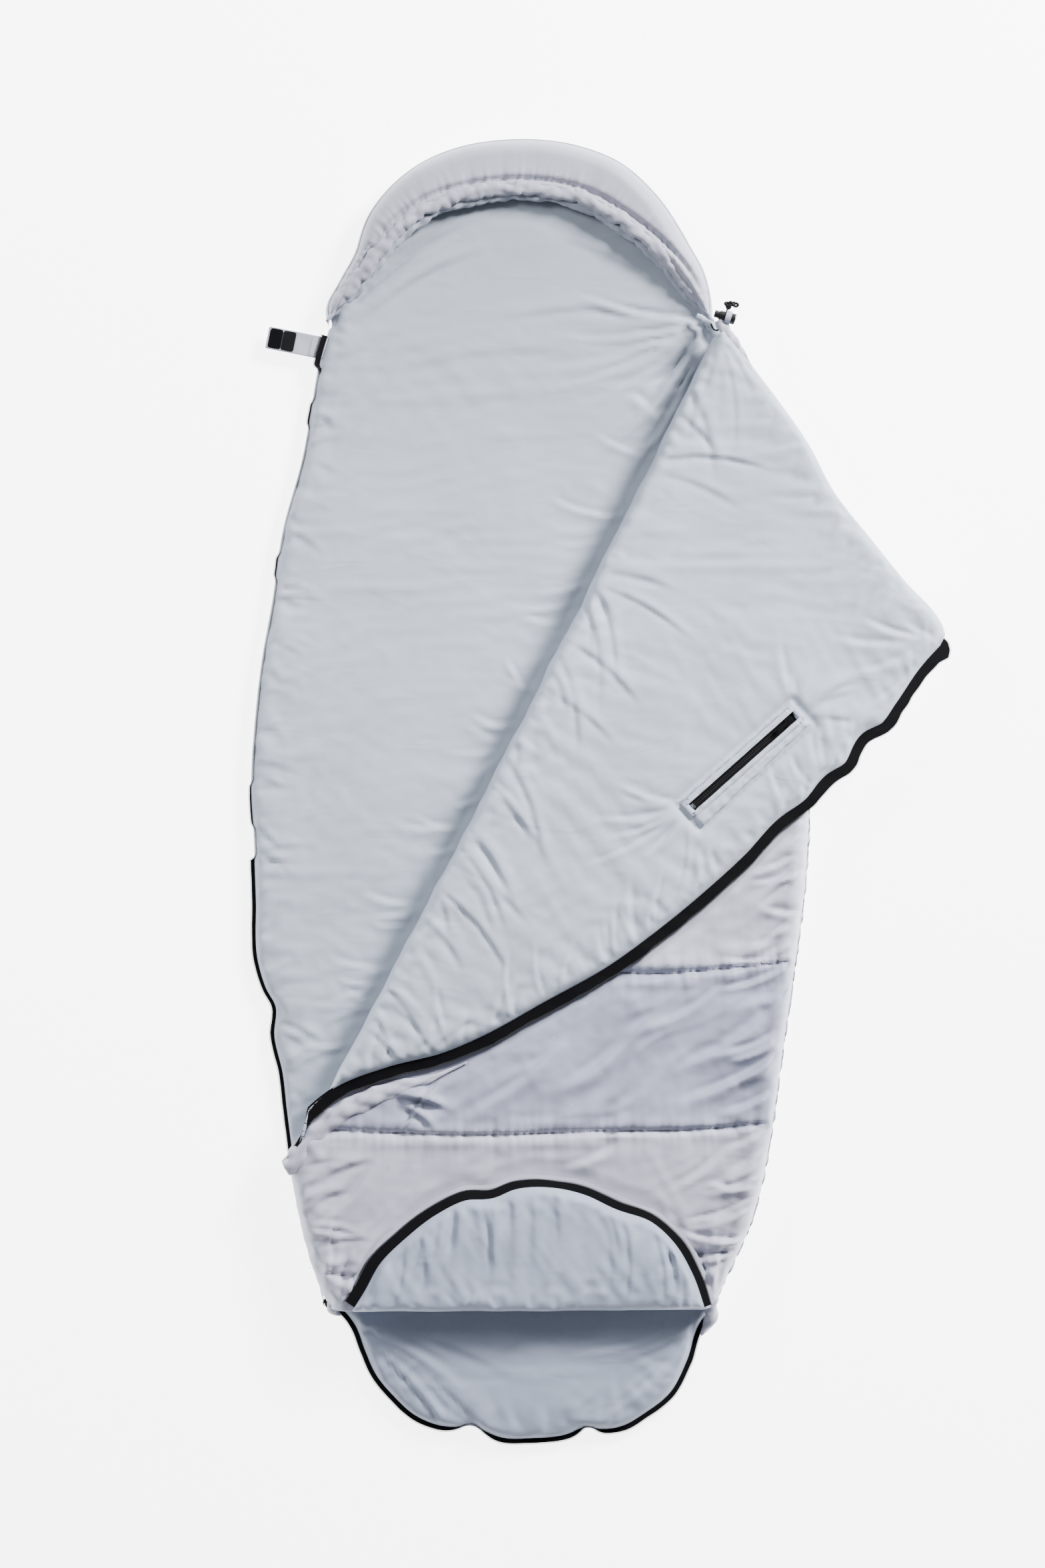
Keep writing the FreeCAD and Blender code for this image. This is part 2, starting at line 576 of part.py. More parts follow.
def make_sliders():
    top, bottom = point(CLOSED_ZIP_TOP, ZIP_Z), Vector(-FOOT_HALF_WIDTH, FOOT_FOLD_Y, ZIP_Z)
    down = (bottom - top).normalize()
    out = Vector(down.y, -down.x, 0)
    tape_middle = out * (TAPE_STAND + TAPE / 2)
    upper_origin = top + down * SLIDER_END_MARGIN + tape_middle
    lower_origin = bottom - down * SLIDER_END_MARGIN + tape_middle
    slit_origin, slit_along, slit_across, _ = slit_axes()
    slit_origin += slit_along * SLIDER_END_MARGIN + Vector(0, 0, FLAP_TOP_Z + TAPE / 2)
    frames = {
        "upper": (upper_origin, down, out.cross(down), out),
        "lower": (lower_origin, down * -1, out.cross(down * -1), out),
        "slit": (slit_origin, slit_along, slit_across, Vector(0, 0, 1)),
    }
    for name, (origin, along, across, up) in frames.items():
        save(name + "_slider_body", placed(slider_body(), origin, along, across, up))
        save(name + "_slider_pull", placed(slider_pull(), origin, along, across, up))
        pivot = origin + along * PIVOT_X + up * PIVOT_Z
        print(name, "pull pivot", [round(v, 2) for v in pivot], "axis", [round(v, 4) for v in across],
              "slide", [round(v, 4) for v in along])


# ---- tab over the zip's top end -----------------------------------------------------------
def make_tab():
    out = Vector(TAB_DIRECTION[0], TAB_DIRECTION[1], 0).normalize()
    across = Vector(-out.y, out.x, 0)
    up = Vector(0, 0, 1)
    origin = point(TAB_ROOT, TAB_Z)
    half = TAB_WIDTH / 2
    fabric = block(TAB_HINGE_GAP, TAB_LENGTH, -half, half, 0, TAB_THICKNESS)
    save("tab_fabric", placed(fabric, origin, out, across, up))
    top = TAB_THICKNESS + STRIP_THICKNESS
    strip_half = half - STRIP_MARGIN
    for name, inwards in (("tab_loop_strip", LOOP_STRIP_IN), ("tab_hook_strip", HOOK_STRIP_IN)):
        x = TAB_LENGTH - inwards
        strip = block(x, x + STRIP_LENGTH, -strip_half, strip_half, TAB_THICKNESS, top)
        save(name, placed(strip, origin, out, across, up))
    anchor = block(-TAB_ROOT_LENGTH, -TAB_HINGE_GAP, -half, half, 0, TAB_THICKNESS)
    anchor = placed(anchor, origin, out, across, up)
    save("tab_anchor", anchor.cut(slab(bag_face(TAPE_STAND + TAPE), 0, LOFT)))


make_back()
make_lower_front()
make_fixed_zip()
make_flap()
make_arm_slit()
make_foot_flap()
make_hood()
make_cord_lock()
make_sliders()
make_tab()
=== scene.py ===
"""Looks of the mummy sleeping bag: quilts, hood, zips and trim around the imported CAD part.

Plans are drawn in millimetres: X to the right, Y towards the head, Z up. Meshes are in metres."""

import math

import bpy
import numpy as np
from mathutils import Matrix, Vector, geometry, kdtree


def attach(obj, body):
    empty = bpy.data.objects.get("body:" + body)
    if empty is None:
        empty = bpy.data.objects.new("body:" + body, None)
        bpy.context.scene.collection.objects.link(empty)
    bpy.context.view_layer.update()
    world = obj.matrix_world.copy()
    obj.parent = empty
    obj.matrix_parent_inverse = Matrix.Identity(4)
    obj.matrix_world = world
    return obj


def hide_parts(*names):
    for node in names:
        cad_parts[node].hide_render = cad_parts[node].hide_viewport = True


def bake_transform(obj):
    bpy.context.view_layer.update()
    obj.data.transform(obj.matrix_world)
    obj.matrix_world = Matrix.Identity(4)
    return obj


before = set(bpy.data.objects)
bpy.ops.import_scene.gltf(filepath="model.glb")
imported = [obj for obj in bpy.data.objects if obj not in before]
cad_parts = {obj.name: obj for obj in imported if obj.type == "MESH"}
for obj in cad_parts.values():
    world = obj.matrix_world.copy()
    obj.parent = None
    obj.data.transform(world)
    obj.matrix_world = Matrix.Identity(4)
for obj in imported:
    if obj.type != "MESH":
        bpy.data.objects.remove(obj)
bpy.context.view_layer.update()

MM = 0.001

# ---- camera -------------------------------------------------------------------------------
CAMERA_HEIGHT = 4.4
VIEW_HEIGHT = 2.528
LOOK_AT = (-0.0065, 0.0118, 0.06)
camera = bpy.data.objects.new("camera", bpy.data.cameras.new("camera"))
bpy.context.scene.collection.objects.link(camera)
camera.location = (LOOK_AT[0], LOOK_AT[1], CAMERA_HEIGHT + LOOK_AT[2])
camera.data.lens = camera.data.sensor_width * CAMERA_HEIGHT / VIEW_HEIGHT
camera.data.clip_end = 50
bpy.context.scene.camera = camera


# ---- materials ----------------------------------------------------------------------------
def linear(srgb):
    """Linear colour from sRGB values of 0 to 255."""
    return [((c / 255 + 0.055) / 1.055) ** 2.4 if c > 10 else c / 255 / 12.92 for c in srgb]


def wire(tree, made, links=(), **inputs):
    """Sets a node's inputs, named with _ for each space, and links (input, node, output) into it."""
    for name, value in inputs.items():
        made.inputs[name.replace("_", " ")].default_value = value
    for socket, source, output in links:
        tree.links.new(source.outputs[output], made.inputs[socket])
    return made


def node(tree, kind, place, links=(), settings=(), **inputs):
    """A new shader node; settings are (attribute, value)."""
    made = tree.nodes.new("ShaderNode" + kind)
    made.location = place
    for name, value in settings:
        setattr(made, name, value)
    return wire(tree, made, links, **inputs)


def new_material(name):
    """A material with its node tree and its shader."""
    made = bpy.data.materials.new(name)
    made.use_nodes = True
    return made, made.node_tree, made.node_tree.nodes["Principled BSDF"]


def fabric(name, srgb, roughness, sheen, weave, crinkle, variation=0.04, weave_pitch=0.0011, head_shade=0.0):
    """Woven cloth: a fine weave and a soft crinkle as bump, with a slow drift of its colour. head_shade is
    how much darker it grows towards the head, to even out the key light, which stands nearer to it."""
    made, tree, shader = new_material(name)
    base = np.array(linear(srgb))
    spot = ("Vector", node(tree, "TexCoord", (-1300, 0)), "Object")
    drift = node(tree, "TexNoise", (-900, 300), [spot], Scale=5.0, Detail=5.0)
    ramp = node(tree, "ValToRGB", (-650, 300), [("Fac", drift, "Fac")])
    for stop, position, change in zip(ramp.color_ramp.elements, (0.3, 0.7), (-variation, variation)):
        stop.position = position
        stop.color = (*np.minimum(base * (1 + change), 1), 1)
    parts = node(tree, "SeparateXYZ", (-900, 550), [spot])
    fading = node(tree, "MapRange", (-650, 550), [("Value", parts, "Y")],
                  [("interpolation_type", "SMOOTHSTEP")],
                  From_Min=0.2, From_Max=0.95, To_Min=1.0, To_Max=1.0 - head_shade)
    shade = node(tree, "VectorMath", (-400, 400), [("Vector", ramp, "Color"), ("Scale", fading, "Result")],
                 [("operation", "SCALE")])
    threads = []
    for axis in (0, 1):
        turn = node(tree, "Mapping", (-1100, -200 - 200 * axis), [spot],
                    Rotation=(0, 0, math.radians(90) * axis))
        threads.append(node(tree, "TexWave", (-900, -200 - 200 * axis), [("Vector", turn, "Vector")],
                            Scale=1 / weave_pitch / 3.2, Distortion=1.5, Detail=1.0))
    both = node(tree, "Math", (-650, -300), [(k, thread, "Fac") for k, thread in enumerate(threads)],
                [("operation", "ADD")])
    fine = node(tree, "Bump", (-400, -300), [("Height", both, 0)], Strength=weave, Distance=0.0002)
    stretch = node(tree, "Mapping", (-1100, -650), [spot], Rotation=(0, 0, math.radians(35)),
                   Scale=(1.0, 2.4, 1.5))
    creases = node(tree, "TexNoise", (-900, -650), [("Vector", stretch, "Vector")],
                   [("noise_type", "RIDGED_MULTIFRACTAL")], Scale=11.0, Detail=5.0, Distortion=1.4)
    broad = node(tree, "Bump", (-200, -450), [("Height", creases, "Fac"), ("Normal", fine, "Normal")],
                 Strength=crinkle, Distance=0.003)
    wire(tree, shader, [("Base Color", shade, "Vector"), ("Normal", broad, "Normal")], Roughness=roughness,
         Sheen_Weight=sheen, Sheen_Roughness=0.45, Specular_IOR_Level=0.3 if max(srgb) > 60 else 0.08)
    return made


def plain(name, srgb, roughness, metallic=0.0):
    """Plastic or metal, with a slight unevenness of its roughness."""
    made, tree, shader = new_material(name)
    spot = ("Vector", node(tree, "TexCoord", (-900, 0)), "Object")
    noise = node(tree, "TexNoise", (-700, 0), [spot], Scale=600.0, Detail=3.0)
    spread = node(tree, "MapRange", (-450, 0), [("Value", noise, "Fac")], To_Min=roughness * 0.85,
                  To_Max=roughness * 1.15)
    wire(tree, shader, [("Roughness", spread, "Result")], Base_Color=(*linear(srgb), 1), Metallic=metallic)
    return made


LINING = fabric("lining_cloth", (165, 173, 187), 0.62, 0.15, 0.3, 0.22, head_shade=0.3)
# A darker, bluer copy of the lining cloth: painted shade for the foot end of the back and for the foot flap.
LINING_FOOT_PAINTED_SHADE = fabric("lining_cloth_foot_painted_shade", (143, 151, 170), 0.62, 0.15, 0.3, 0.22)
SHELL = fabric("shell_cloth", (167, 168, 184), 0.5, 0.2, 0.3, 0.16, head_shade=0.27)
SHELL_DARK = fabric("shell_cloth_middle", (146, 149, 169), 0.46, 0.2, 0.3, 0.16)
TAPE = fabric("zip_tape_weave", (9, 9, 12), 0.8, 0.0, 0.8, 0.1, 0.12, 0.0016)
HOOK = fabric("hook_strip", (7, 7, 9), 0.9, 0.0, 1.0, 0.1, 0.2, 0.0018)
LOOP = fabric("loop_strip", (12, 12, 14), 0.95, 0.15, 1.0, 0.6, 0.2, 0.0018)
THREAD = fabric("thread", (150, 152, 161), 0.7, 0.3, 0.4, 0.1, 0.05, 0.0006)
CORD = fabric("cord_braid", (9, 9, 11), 0.7, 0.2, 1.0, 0.2, 0.1, 0.0016)
PLASTIC = plain("black_plastic", (8, 8, 9), 0.35)
COIL = plain("zip_coil_plastic", (5, 5, 7), 0.7)
METAL = plain("slider_enamel", (14, 14, 16), 0.3, 0.5)
STAPLE = plain("zip_stop_metal", (168, 170, 174), 0.3, 1.0)
STEEL = plain("spring_steel", (150, 152, 156), 0.25, 1.0)


# ---- curves and noise ---------------------------------------------------------------------
def smooth_line(points, step=4.0):
    """Evenly spaced points along a smooth open line through the given ones."""
    p = np.array(points, float)
    t = np.r_[0, np.cumsum(np.linalg.norm(np.diff(p, axis=0), axis=1))]
    m = np.gradient(p, t, axis=0)
    s = np.linspace(0, t[-1], max(3, int(t[-1] / step)) + 1)
    i = np.clip(np.searchsorted(t, s, side="right") - 1, 0, len(t) - 2)
    h = (t[i + 1] - t[i])[:, None]
    u = (s - t[i])[:, None] / h
    a, b = 2 * u**3 - 3 * u**2 + 1, u**3 - 2 * u**2 + u
    c, d = -2 * u**3 + 3 * u**2, u**3 - u**2
    return a * p[i] + b * h * m[i] + c * p[i + 1] + d * h * m[i + 1]


def lengths(line):
    """How far along a line each of its points lies."""
    return np.r_[0, np.cumsum(np.linalg.norm(np.diff(line, axis=0), axis=1))]


def respaced(line, step):
    """The line with evenly spaced points, about step apart."""
    t = lengths(line)
    s = np.linspace(0, t[-1], max(2, int(round(t[-1] / step))) + 1)
    return np.stack([np.interp(s, t, line[:, k]) for k in range(line.shape[1])], 1)


def sideways(line, distance):
    """The line moved to its right-hand side in plan; distance is one number or one for each point."""
    g = np.gradient(line[:, :2], axis=0)
    g /= np.maximum(np.linalg.norm(g, axis=1), 1e-9)[:, None]
    moved = line.copy()
    moved[:, 0] += g[:, 1] * distance
    moved[:, 1] -= g[:, 0] * distance
    return moved


def outside(line, distance, centre):
    """The line moved away from a point well to one side of it, or towards it if distance is below 0."""
    k = len(line) // 2
    away = np.linalg.norm(sideways(line, 1.0)[k] - centre) > np.linalg.norm(line[k] - centre)
    return sideways(line, distance if away else -distance)


def perlin(x, y, seed=0):
    """Smooth noise of about -0.7 to 0.7, one cell for each unit of x and y."""
    x, y = np.asarray(x, float) + 57.3 * seed, np.asarray(y, float) + 31.7 * seed
    x0, y0 = np.floor(x).astype(np.int64), np.floor(y).astype(np.int64)
    fx, fy = x - x0, y - y0

    def corner(ix, iy, dx, dy):
        h = (ix * 374761393 + iy * 668265263 + seed * 974711) & 0x7FFFFFFF
        h = ((h ^ (h >> 13)) * 1274126177) & 0x7FFFFFFF
        a = ((h >> 7) % 4096) * (2 * np.pi / 4096)
        return np.cos(a) * dx + np.sin(a) * dy

    u = fx**3 * (fx * (fx * 6 - 15) + 10)
    v = fy**3 * (fy * (fy * 6 - 15) + 10)
    a = corner(x0, y0, fx, fy) * (1 - u) + corner(x0 + 1, y0, fx - 1, fy) * u
    b = corner(x0, y0 + 1, fx, fy - 1) * (1 - u) + corner(x0 + 1, y0 + 1, fx - 1, fy - 1) * u
    return a * (1 - v) + b * v


def wander(t, seed):
    """Smooth noise along a line, one cell for each unit of t."""
    return perlin(t, 0 * t, seed)


def folds(x, y, angle, long, wide, seed):
    """Long soft ridges at an angle in degrees, wandering a little."""
    a = math.radians(angle)
    drift = 0.9 * wide * perlin(x / 140, y / 140, seed + 5)
    u = x * math.cos(a) + y * math.sin(a)
    v = -x * math.sin(a) + y * math.cos(a) + drift
    n = perlin(u / long, v / wide, seed)
    return 1 - 2.2 * np.sqrt(n * n + 0.004)


def patches(x, y, size, seed, low=-0.15, high=0.35):
    """Soft-edged patches of 1 on a ground of 0."""
    n = perlin(x / size, y / size, seed)
    return np.clip((n - low) / (high - low), 0, 1)


def ease(x):
    """A smooth step from 0 to 1 as x goes from 0 to 1."""
    x = np.clip(x, 0, 1)
    return x * x * (3 - 2 * x)


def limited(z, knee, room):
    """Heights eased so that they never pass knee + room."""
    return np.where(z > knee, knee + room * (1 - np.exp(-(z - knee) / room)), z)


def dome(d, radius):
    """Height of a rounded edge from 0 to 1, at a distance from the edge."""
    return np.sqrt(np.maximum(0, 1 - (1 - np.clip(d / radius, 0, 1)) ** 2))


def strokes(x, y, creases):
    """Sum of single creases, each (x0, y0, x1, y1, half width, height), fading at both ends."""
    total = np.zeros(len(x))
    for x0, y0, x1, y1, wide, high in creases:
        dx, dy = x1 - x0, y1 - y0
        length = math.hypot(dx, dy)
        along = ((x - x0) * dx + (y - y0) * dy) / length**2
        near = (along > -0.2) & (along < 1.2)
        across = ((x - x0) * dy - (y - y0) * dx) / length
        bend = across + 0.06 * length * np.sin(along * 3.1)
        ridge = np.exp(-((bend / (np.where(bend > 0, 0.6, 1.5) * wide)) ** 2))
        shape = ridge - 0.55 * np.exp(-(((bend - 1.3 * wide) / (0.8 * wide)) ** 2))
        fade = ease(1.25 - np.abs(along - 0.5) * 2) * near
        total += high * shape * fade
    return total


# ---- meshes -------------------------------------------------------------------------------
def search_tree(points):
    """Finds the nearest of some points in plan."""
    tree = kdtree.KDTree(len(points))
    for i, p in enumerate(points):
        tree.insert((p[0], p[1], 0), i)
    tree.balance()
    return tree


def to_segments(p, a, b):
    """Distance from each point to its segment a to b, and the nearest point's place on it, from 0 to 1."""
    ab = b - a
    u = np.clip(((p - a) * ab).sum(1) / np.maximum((ab * ab).sum(1), 1e-9), 0, 1)
    return np.linalg.norm(p - a - ab * u[:, None], axis=1), u


def add_mesh(name, points_mm, faces, material):
    """A mesh object from points in millimetres; material is one or a list."""
    mesh = bpy.data.meshes.new(name)
    mesh.from_pydata((np.asarray(points_mm) * MM).tolist(), [], [list(map(int, f)) for f in faces])
    mesh.validate()
    for m in material if isinstance(material, list) else [material]:
        mesh.materials.append(m)
    mesh.shade_smooth()
    made = bpy.data.objects.new(name, mesh)
    bpy.context.scene.collection.objects.link(made)
    return made


class Plan:
    """A flat region cut into small triangles, with each point's distance to its border."""

    def __init__(self, outline, step, rings=(1.5, 4.0, 7.5)):
        ring = respaced(np.vstack([outline, outline[:1]]), step)[:-1]
        area = np.sum(ring[:, 0] * np.roll(ring[:, 1], -1) - ring[:, 1] * np.roll(ring[:, 0], -1))
        if area < 0:
            ring = ring[::-1]
        self.border = ring
        self.tree = search_tree(ring)
        lo, hi = ring.min(0), ring.max(0)
        rows = np.arange(lo[1], hi[1], step * 0.866)
        grid = []
        for k, y in enumerate(rows):
            xs = np.arange(lo[0] + (k % 2) * step / 2, hi[0], step)
            grid.append(np.stack([xs, np.full(len(xs), y)], 1))
        inner = np.vstack(grid)
        inner = inner[self.inside(inner)]
        inner = inner[self.measure(inner)[0] > rings[-1] + step * 0.55]
        before, after = np.roll(ring, 1, axis=0), np.roll(ring, -1, axis=0)
        along = after - before
        along /= np.maximum(np.linalg.norm(along, axis=1), 1e-9)[:, None]
        inwards = np.stack([-along[:, 1], along[:, 0]], 1)
        extra = []
        for r in rings:
            moved = ring + inwards * r
            moved = moved[self.inside(moved)]
            extra.append(moved[self.measure(moved)[0] > r * 0.93])
        inner = np.vstack([*extra, inner])
        n = len(ring)
        points = np.vstack([ring, inner])
        edges = [(i, (i + 1) % n) for i in range(n)]
        out = geometry.delaunay_2d_cdt([Vector(p) for p in points], edges, [], 1, 1e-6)
        self.xy = np.array([(v.x, v.y) for v in out[0]])
        tris = np.array([f for f in out[2] if len(f) == 3])
        a, b, c = (self.xy[tris[:, k]] for k in range(3))
        turn = (b[:, 0] - a[:, 0]) * (c[:, 1] - a[:, 1]) - (b[:, 1] - a[:, 1]) * (c[:, 0] - a[:, 0])
        tris[turn < 0] = tris[turn < 0][:, ::-1]
        self.tris = tris[np.abs(turn) > 1e-6]
        self.rim = np.array([any(q < n for q in orig) for orig in out[3]])
        self.d, self.s = self.measure(self.xy)
        self.d[self.rim] = 0

    def inside(self, p):
        """Which points lie inside the border."""
        ring = self.border
        x, y = p[:, 0], p[:, 1]
        result = np.zeros(len(p), bool)
        for (x0, y0), (x1, y1) in zip(ring, np.roll(ring, -1, axis=0)):
            if y0 == y1:
                continue
            hit = (y0 > y) != (y1 > y)
            result ^= hit & (x < (x1 - x0) * (y - y0) / (y1 - y0) + x0)
        return result

    def measure(self, p):
        """Distance to the border, and how far along it the nearest of its points lies."""
        ring, n = self.border, len(self.border)
        i = np.array([self.tree.find((a, b, 0))[1] for a, b in p])
        best = np.full(len(p), 1e9)
        for j in ((i - 1) % n, i):
            best = np.minimum(best, to_segments(p, ring[j], ring[(j + 1) % n])[0])
        return best, lengths(ring)[i]


def line_distance(p, line):
    """Distance from points to a line, and how far along the line the nearest point lies."""
    tree = search_tree(line)
    i = np.array([tree.find((a, b, 0))[1] for a, b in p])
    t = lengths(line[:, :2])
    best, along = np.full(len(p), 1e9), np.zeros(len(p))
    for j in (np.maximum(i - 1, 0), np.minimum(i, len(line) - 2)):
        away, u = to_segments(p, line[j, :2], line[j + 1, :2])
        along = np.where(away < best, t[j] + u * (t[j + 1] - t[j]), along)
        best = np.minimum(best, away)
    return best, along


def quilt(name, plan, top, bottom, material, shift=None, pick=None):
    """A closed padded piece: top and bottom heights for each plan point, joined at the border. shift moves
    the top in plan. pick takes the faces' centres and which are upper, and gives their material's number."""
    edge = (top + bottom) / 2
    top, bottom = np.where(plan.rim, edge, top), np.where(plan.rim, edge, bottom)
    xy = plan.xy if shift is None else plan.xy + shift
    n = len(xy)
    under = np.full(n, -1)
    free = np.flatnonzero(~plan.rim)
    under[free] = n + np.arange(len(free))
    under[plan.rim] = np.flatnonzero(plan.rim)
    points = np.vstack([np.c_[xy, top], np.c_[plan.xy[free], bottom[free]]])
    faces = np.vstack([plan.tris, under[plan.tris][:, ::-1]])
    made = add_mesh(name, points, faces, material)
    if pick is not None:
        centre = points[faces].mean(1)
        chosen = pick(centre, np.arange(len(faces)) < len(plan.tris)).astype(np.int32)
        made.data.polygons.foreach_set("material_index", chosen)
    return made


def ribbon(name, left, right, thickness, material):
    """A thin closed strip between two lines of 3-D points."""
    n = len(left)
    g = right - left
    along = np.gradient((left + right) / 2, axis=0)
    up = np.cross(g, along)
    up /= np.maximum(np.linalg.norm(up, axis=1), 1e-9)[:, None]
    h = up * thickness / 2
    points = np.vstack([left + h, right + h, right - h, left - h])
    faces = []
    for k in range(4):
        a, b = k * n, ((k + 1) % 4) * n
        for i in range(n - 1):
            faces.append((a + i, a + i + 1, b + i + 1, b + i))
    faces += [(0, n, 2 * n, 3 * n), (4 * n - 1, 3 * n - 1, 2 * n - 1, n - 1)]
    made = add_mesh(name, points, faces, material)
    made.data.set_sharp_from_angle(angle=math.radians(50))
    return made


def tube(name, line, radius, material, sides=12, squeeze=1.0, ripple=None):
    """A closed round piece along a 3-D line; radius is one number or one for each point."""
    n = len(line)
    t = np.gradient(line, axis=0)
    t /= np.maximum(np.linalg.norm(t, axis=1), 1e-9)[:, None]
    side = np.cross(t, (0, 0, 1.0))
    side /= np.maximum(np.linalg.norm(side, axis=1), 1e-9)[:, None]
    up = np.cross(side, t)
    r = np.broadcast_to(np.asarray(radius, float), (n,))
    points = []
    for k in range(sides):
        a = 2 * math.pi * k / sides
        rr = r if ripple is None else r * (1 + ripple(np.arange(n), a))
        points.append(line + side * (rr * math.cos(a))[:, None] + up * (rr * squeeze * math.sin(a))[:, None])
    points = np.vstack(points + [line[:1], line[-1:]])
    faces = []
    for k in range(sides):
        a, b = k * n, ((k + 1) % sides) * n
        for i in range(n - 1):
            faces.append((a + i, b + i, b + i + 1, a + i + 1))
        faces += [(b, a, sides * n), (a + n - 1, b + n - 1, sides * n + 1)]
    return add_mesh(name, points, faces, material)


def boxes(name, centres, alongs, ups, size, material):
    """Many small rounded blocks, one for each centre: stitches or zip teeth."""
    c, t = np.asarray(centres, float), np.asarray(alongs, float)
    t = t / np.linalg.norm(t, axis=1)[:, None]
    u = np.asarray(ups, float)
    u = u - t * (u * t).sum(1)[:, None]
    u /= np.linalg.norm(u, axis=1)[:, None]
    w = np.cross(t, u)
    shape = []
    for x, k in ((-1, 0.45), (-0.6, 1), (0.6, 1), (1, 0.45)):
        for a in range(6):
            q = 2 * math.pi * (a + 0.5) / 6
            shape.append((x, k * math.cos(q), k * math.sin(q)))
    shape = np.array(shape) * np.array(size) / 2
    points = (
        c[:, None]
        + shape[None, :, :1] * t[:, None]
        + shape[None, :, 1:2] * w[:, None]
        + shape[None, :, 2:] * u[:, None]
    ).reshape(-1, 3)
    one = []
    for r in range(3):
        for a in range(6):
            b = (a + 1) % 6
            one.append((r * 6 + a, r * 6 + b, r * 6 + 6 + b, r * 6 + 6 + a))
    m = len(shape)
    faces = [tuple(i * m + q for q in f) for i in range(len(c)) for f in one]
    faces += [tuple(i * m + q for q in range(5, -1, -1)) for i in range(len(c))]
    faces += [tuple(i * m + 18 + q for q in range(6)) for i in range(len(c))]
    return add_mesh(name, points, faces, material)


def stitches(name, line, body, pitch=5.0, lift=0.25, material=None):
    """A row of stitches along a 3-D line."""
    spaced = respaced(line, pitch)
    t = np.gradient(spaced, axis=0)
    up = np.tile((0, 0, 1.0), (len(spaced), 1))
    spaced = spaced + np.array((0, 0, lift))
    made = boxes(name, spaced, t, up, (pitch * 0.68, 0.75, 0.6), material or THREAD)
    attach(made, body)
    return made


def soft(obj, body, slot, *nodes, fill=0.6):
    """A padded piece that rides on a body and stands for CAD nodes, which it hides; its slot is not used."""
    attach(obj, body)
    finish(obj, slot, *nodes)
    return obj


def finish(obj, slot, *nodes):
    """Hides the CAD nodes that a piece stands for; its slot is not used."""
    if nodes:
        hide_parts(*nodes)
    return obj


CLOTH_FRAMES, CLOTH_STEP = 32, 13.0


def settle(plan, top, seed, edge_growth, growth):
    """Cloth simulation of a quilt's face: slightly too large for its batting, pinned round its border and
    pulled down onto it, so that it settles in wrinkles. Returns how far each plan point moves."""
    coarse = Plan(plan.border, CLOTH_STEP, rings=(6.0,))
    x, y, n = coarse.xy[:, 0], coarse.xy[:, 1], len(coarse.xy)
    base = Surface(plan, top)(coarse.xy)
    free = ease(coarse.d / 10)
    bump = (2.0 + 2.2 * perlin(x / 34, y / 34, seed)) * free
    faces = [list(map(int, f)) for f in coarse.tris]
    scene = bpy.context.scene
    made = []
    for name, z in (("batting", base - 1.5), ("face", base + bump)):
        mesh = bpy.data.meshes.new(name)
        mesh.from_pydata((np.c_[coarse.xy, z] * MM).tolist(), [], faces)
        obj = bpy.data.objects.new("settle_" + name, mesh)
        scene.collection.objects.link(obj)
        made.append(obj)
    batting, face = made
    batting.modifiers.new("Collision", "COLLISION")
    batting.collision.thickness_outer = 0.001
    batting.collision.cloth_friction = 12
    pins = face.vertex_groups.new(name="pins")
    loose = face.vertex_groups.new(name="loose")
    for k in range(n):
        pins.add([k], 1.0 if coarse.rim[k] else 0.0, "REPLACE")
        loose.add([k], float(ease(coarse.d[k] / 90)), "REPLACE")
    cloth = face.modifiers.new("Cloth", "CLOTH")
    c = cloth.settings
    c.quality = 6
    c.mass = 0.12
    c.tension_stiffness = c.compression_stiffness = 18
    c.shear_stiffness = 6
    c.bending_stiffness = 0.25
    c.tension_damping = c.compression_damping = 8
    c.air_damping = 2
    c.vertex_group_mass = "pins"
    c.vertex_group_shrink = "loose"
    c.shrink_min, c.shrink_max = -edge_growth, -growth
    cloth.collision_settings.distance_min = 0.001
    cloth.collision_settings.use_self_collision = False
    cloth.point_cache.frame_start, cloth.point_cache.frame_end = 1, CLOTH_FRAMES
    for frame_number in range(1, CLOTH_FRAMES + 1):
        scene.frame_set(frame_number)
    shown = face.evaluated_get(bpy.context.evaluated_depsgraph_get()).to_mesh()
    moved = np.zeros(n * 3)
    shown.vertices.foreach_get("co", moved)
    moved = moved.reshape(-1, 3) / MM - np.c_[coarse.xy, base + free]
    for obj in made:
        bpy.data.objects.remove(obj)
    scene.frame_set(1)
    moved = np.clip(np.nan_to_num(moved), -10, 10)
    tree = search_tree(coarse.xy)
    out = np.zeros((len(plan.xy), 3))
    for k, p in enumerate(plan.xy):
        near = tree.find_n((p[0], p[1], 0), 7)
        w = np.array([math.exp(-((f[2] / 8.0) ** 2)) for f in near]) + 1e-9
        out[k] = (moved[[f[1] for f in near]] * w[:, None]).sum(0) / w.sum()
    return out * ease(plan.d / 10)[:, None]


class Surface:
    """Heights of a quilt's top between its plan points, to lay cloth or trim on it."""

    def __init__(self, plan, top):
        self.top = top
        self.tree = search_tree(plan.xy)

    def __call__(self, xy):
        out = []
        for p in xy:
            near = self.tree.find_n((p[0], p[1], 0), 4)
            w = np.array([1 / (f[2] + 0.5) ** 2 for f in near])
            out.append((w * self.top[[f[1] for f in near]]).sum() / w.sum())
        return np.array(out)


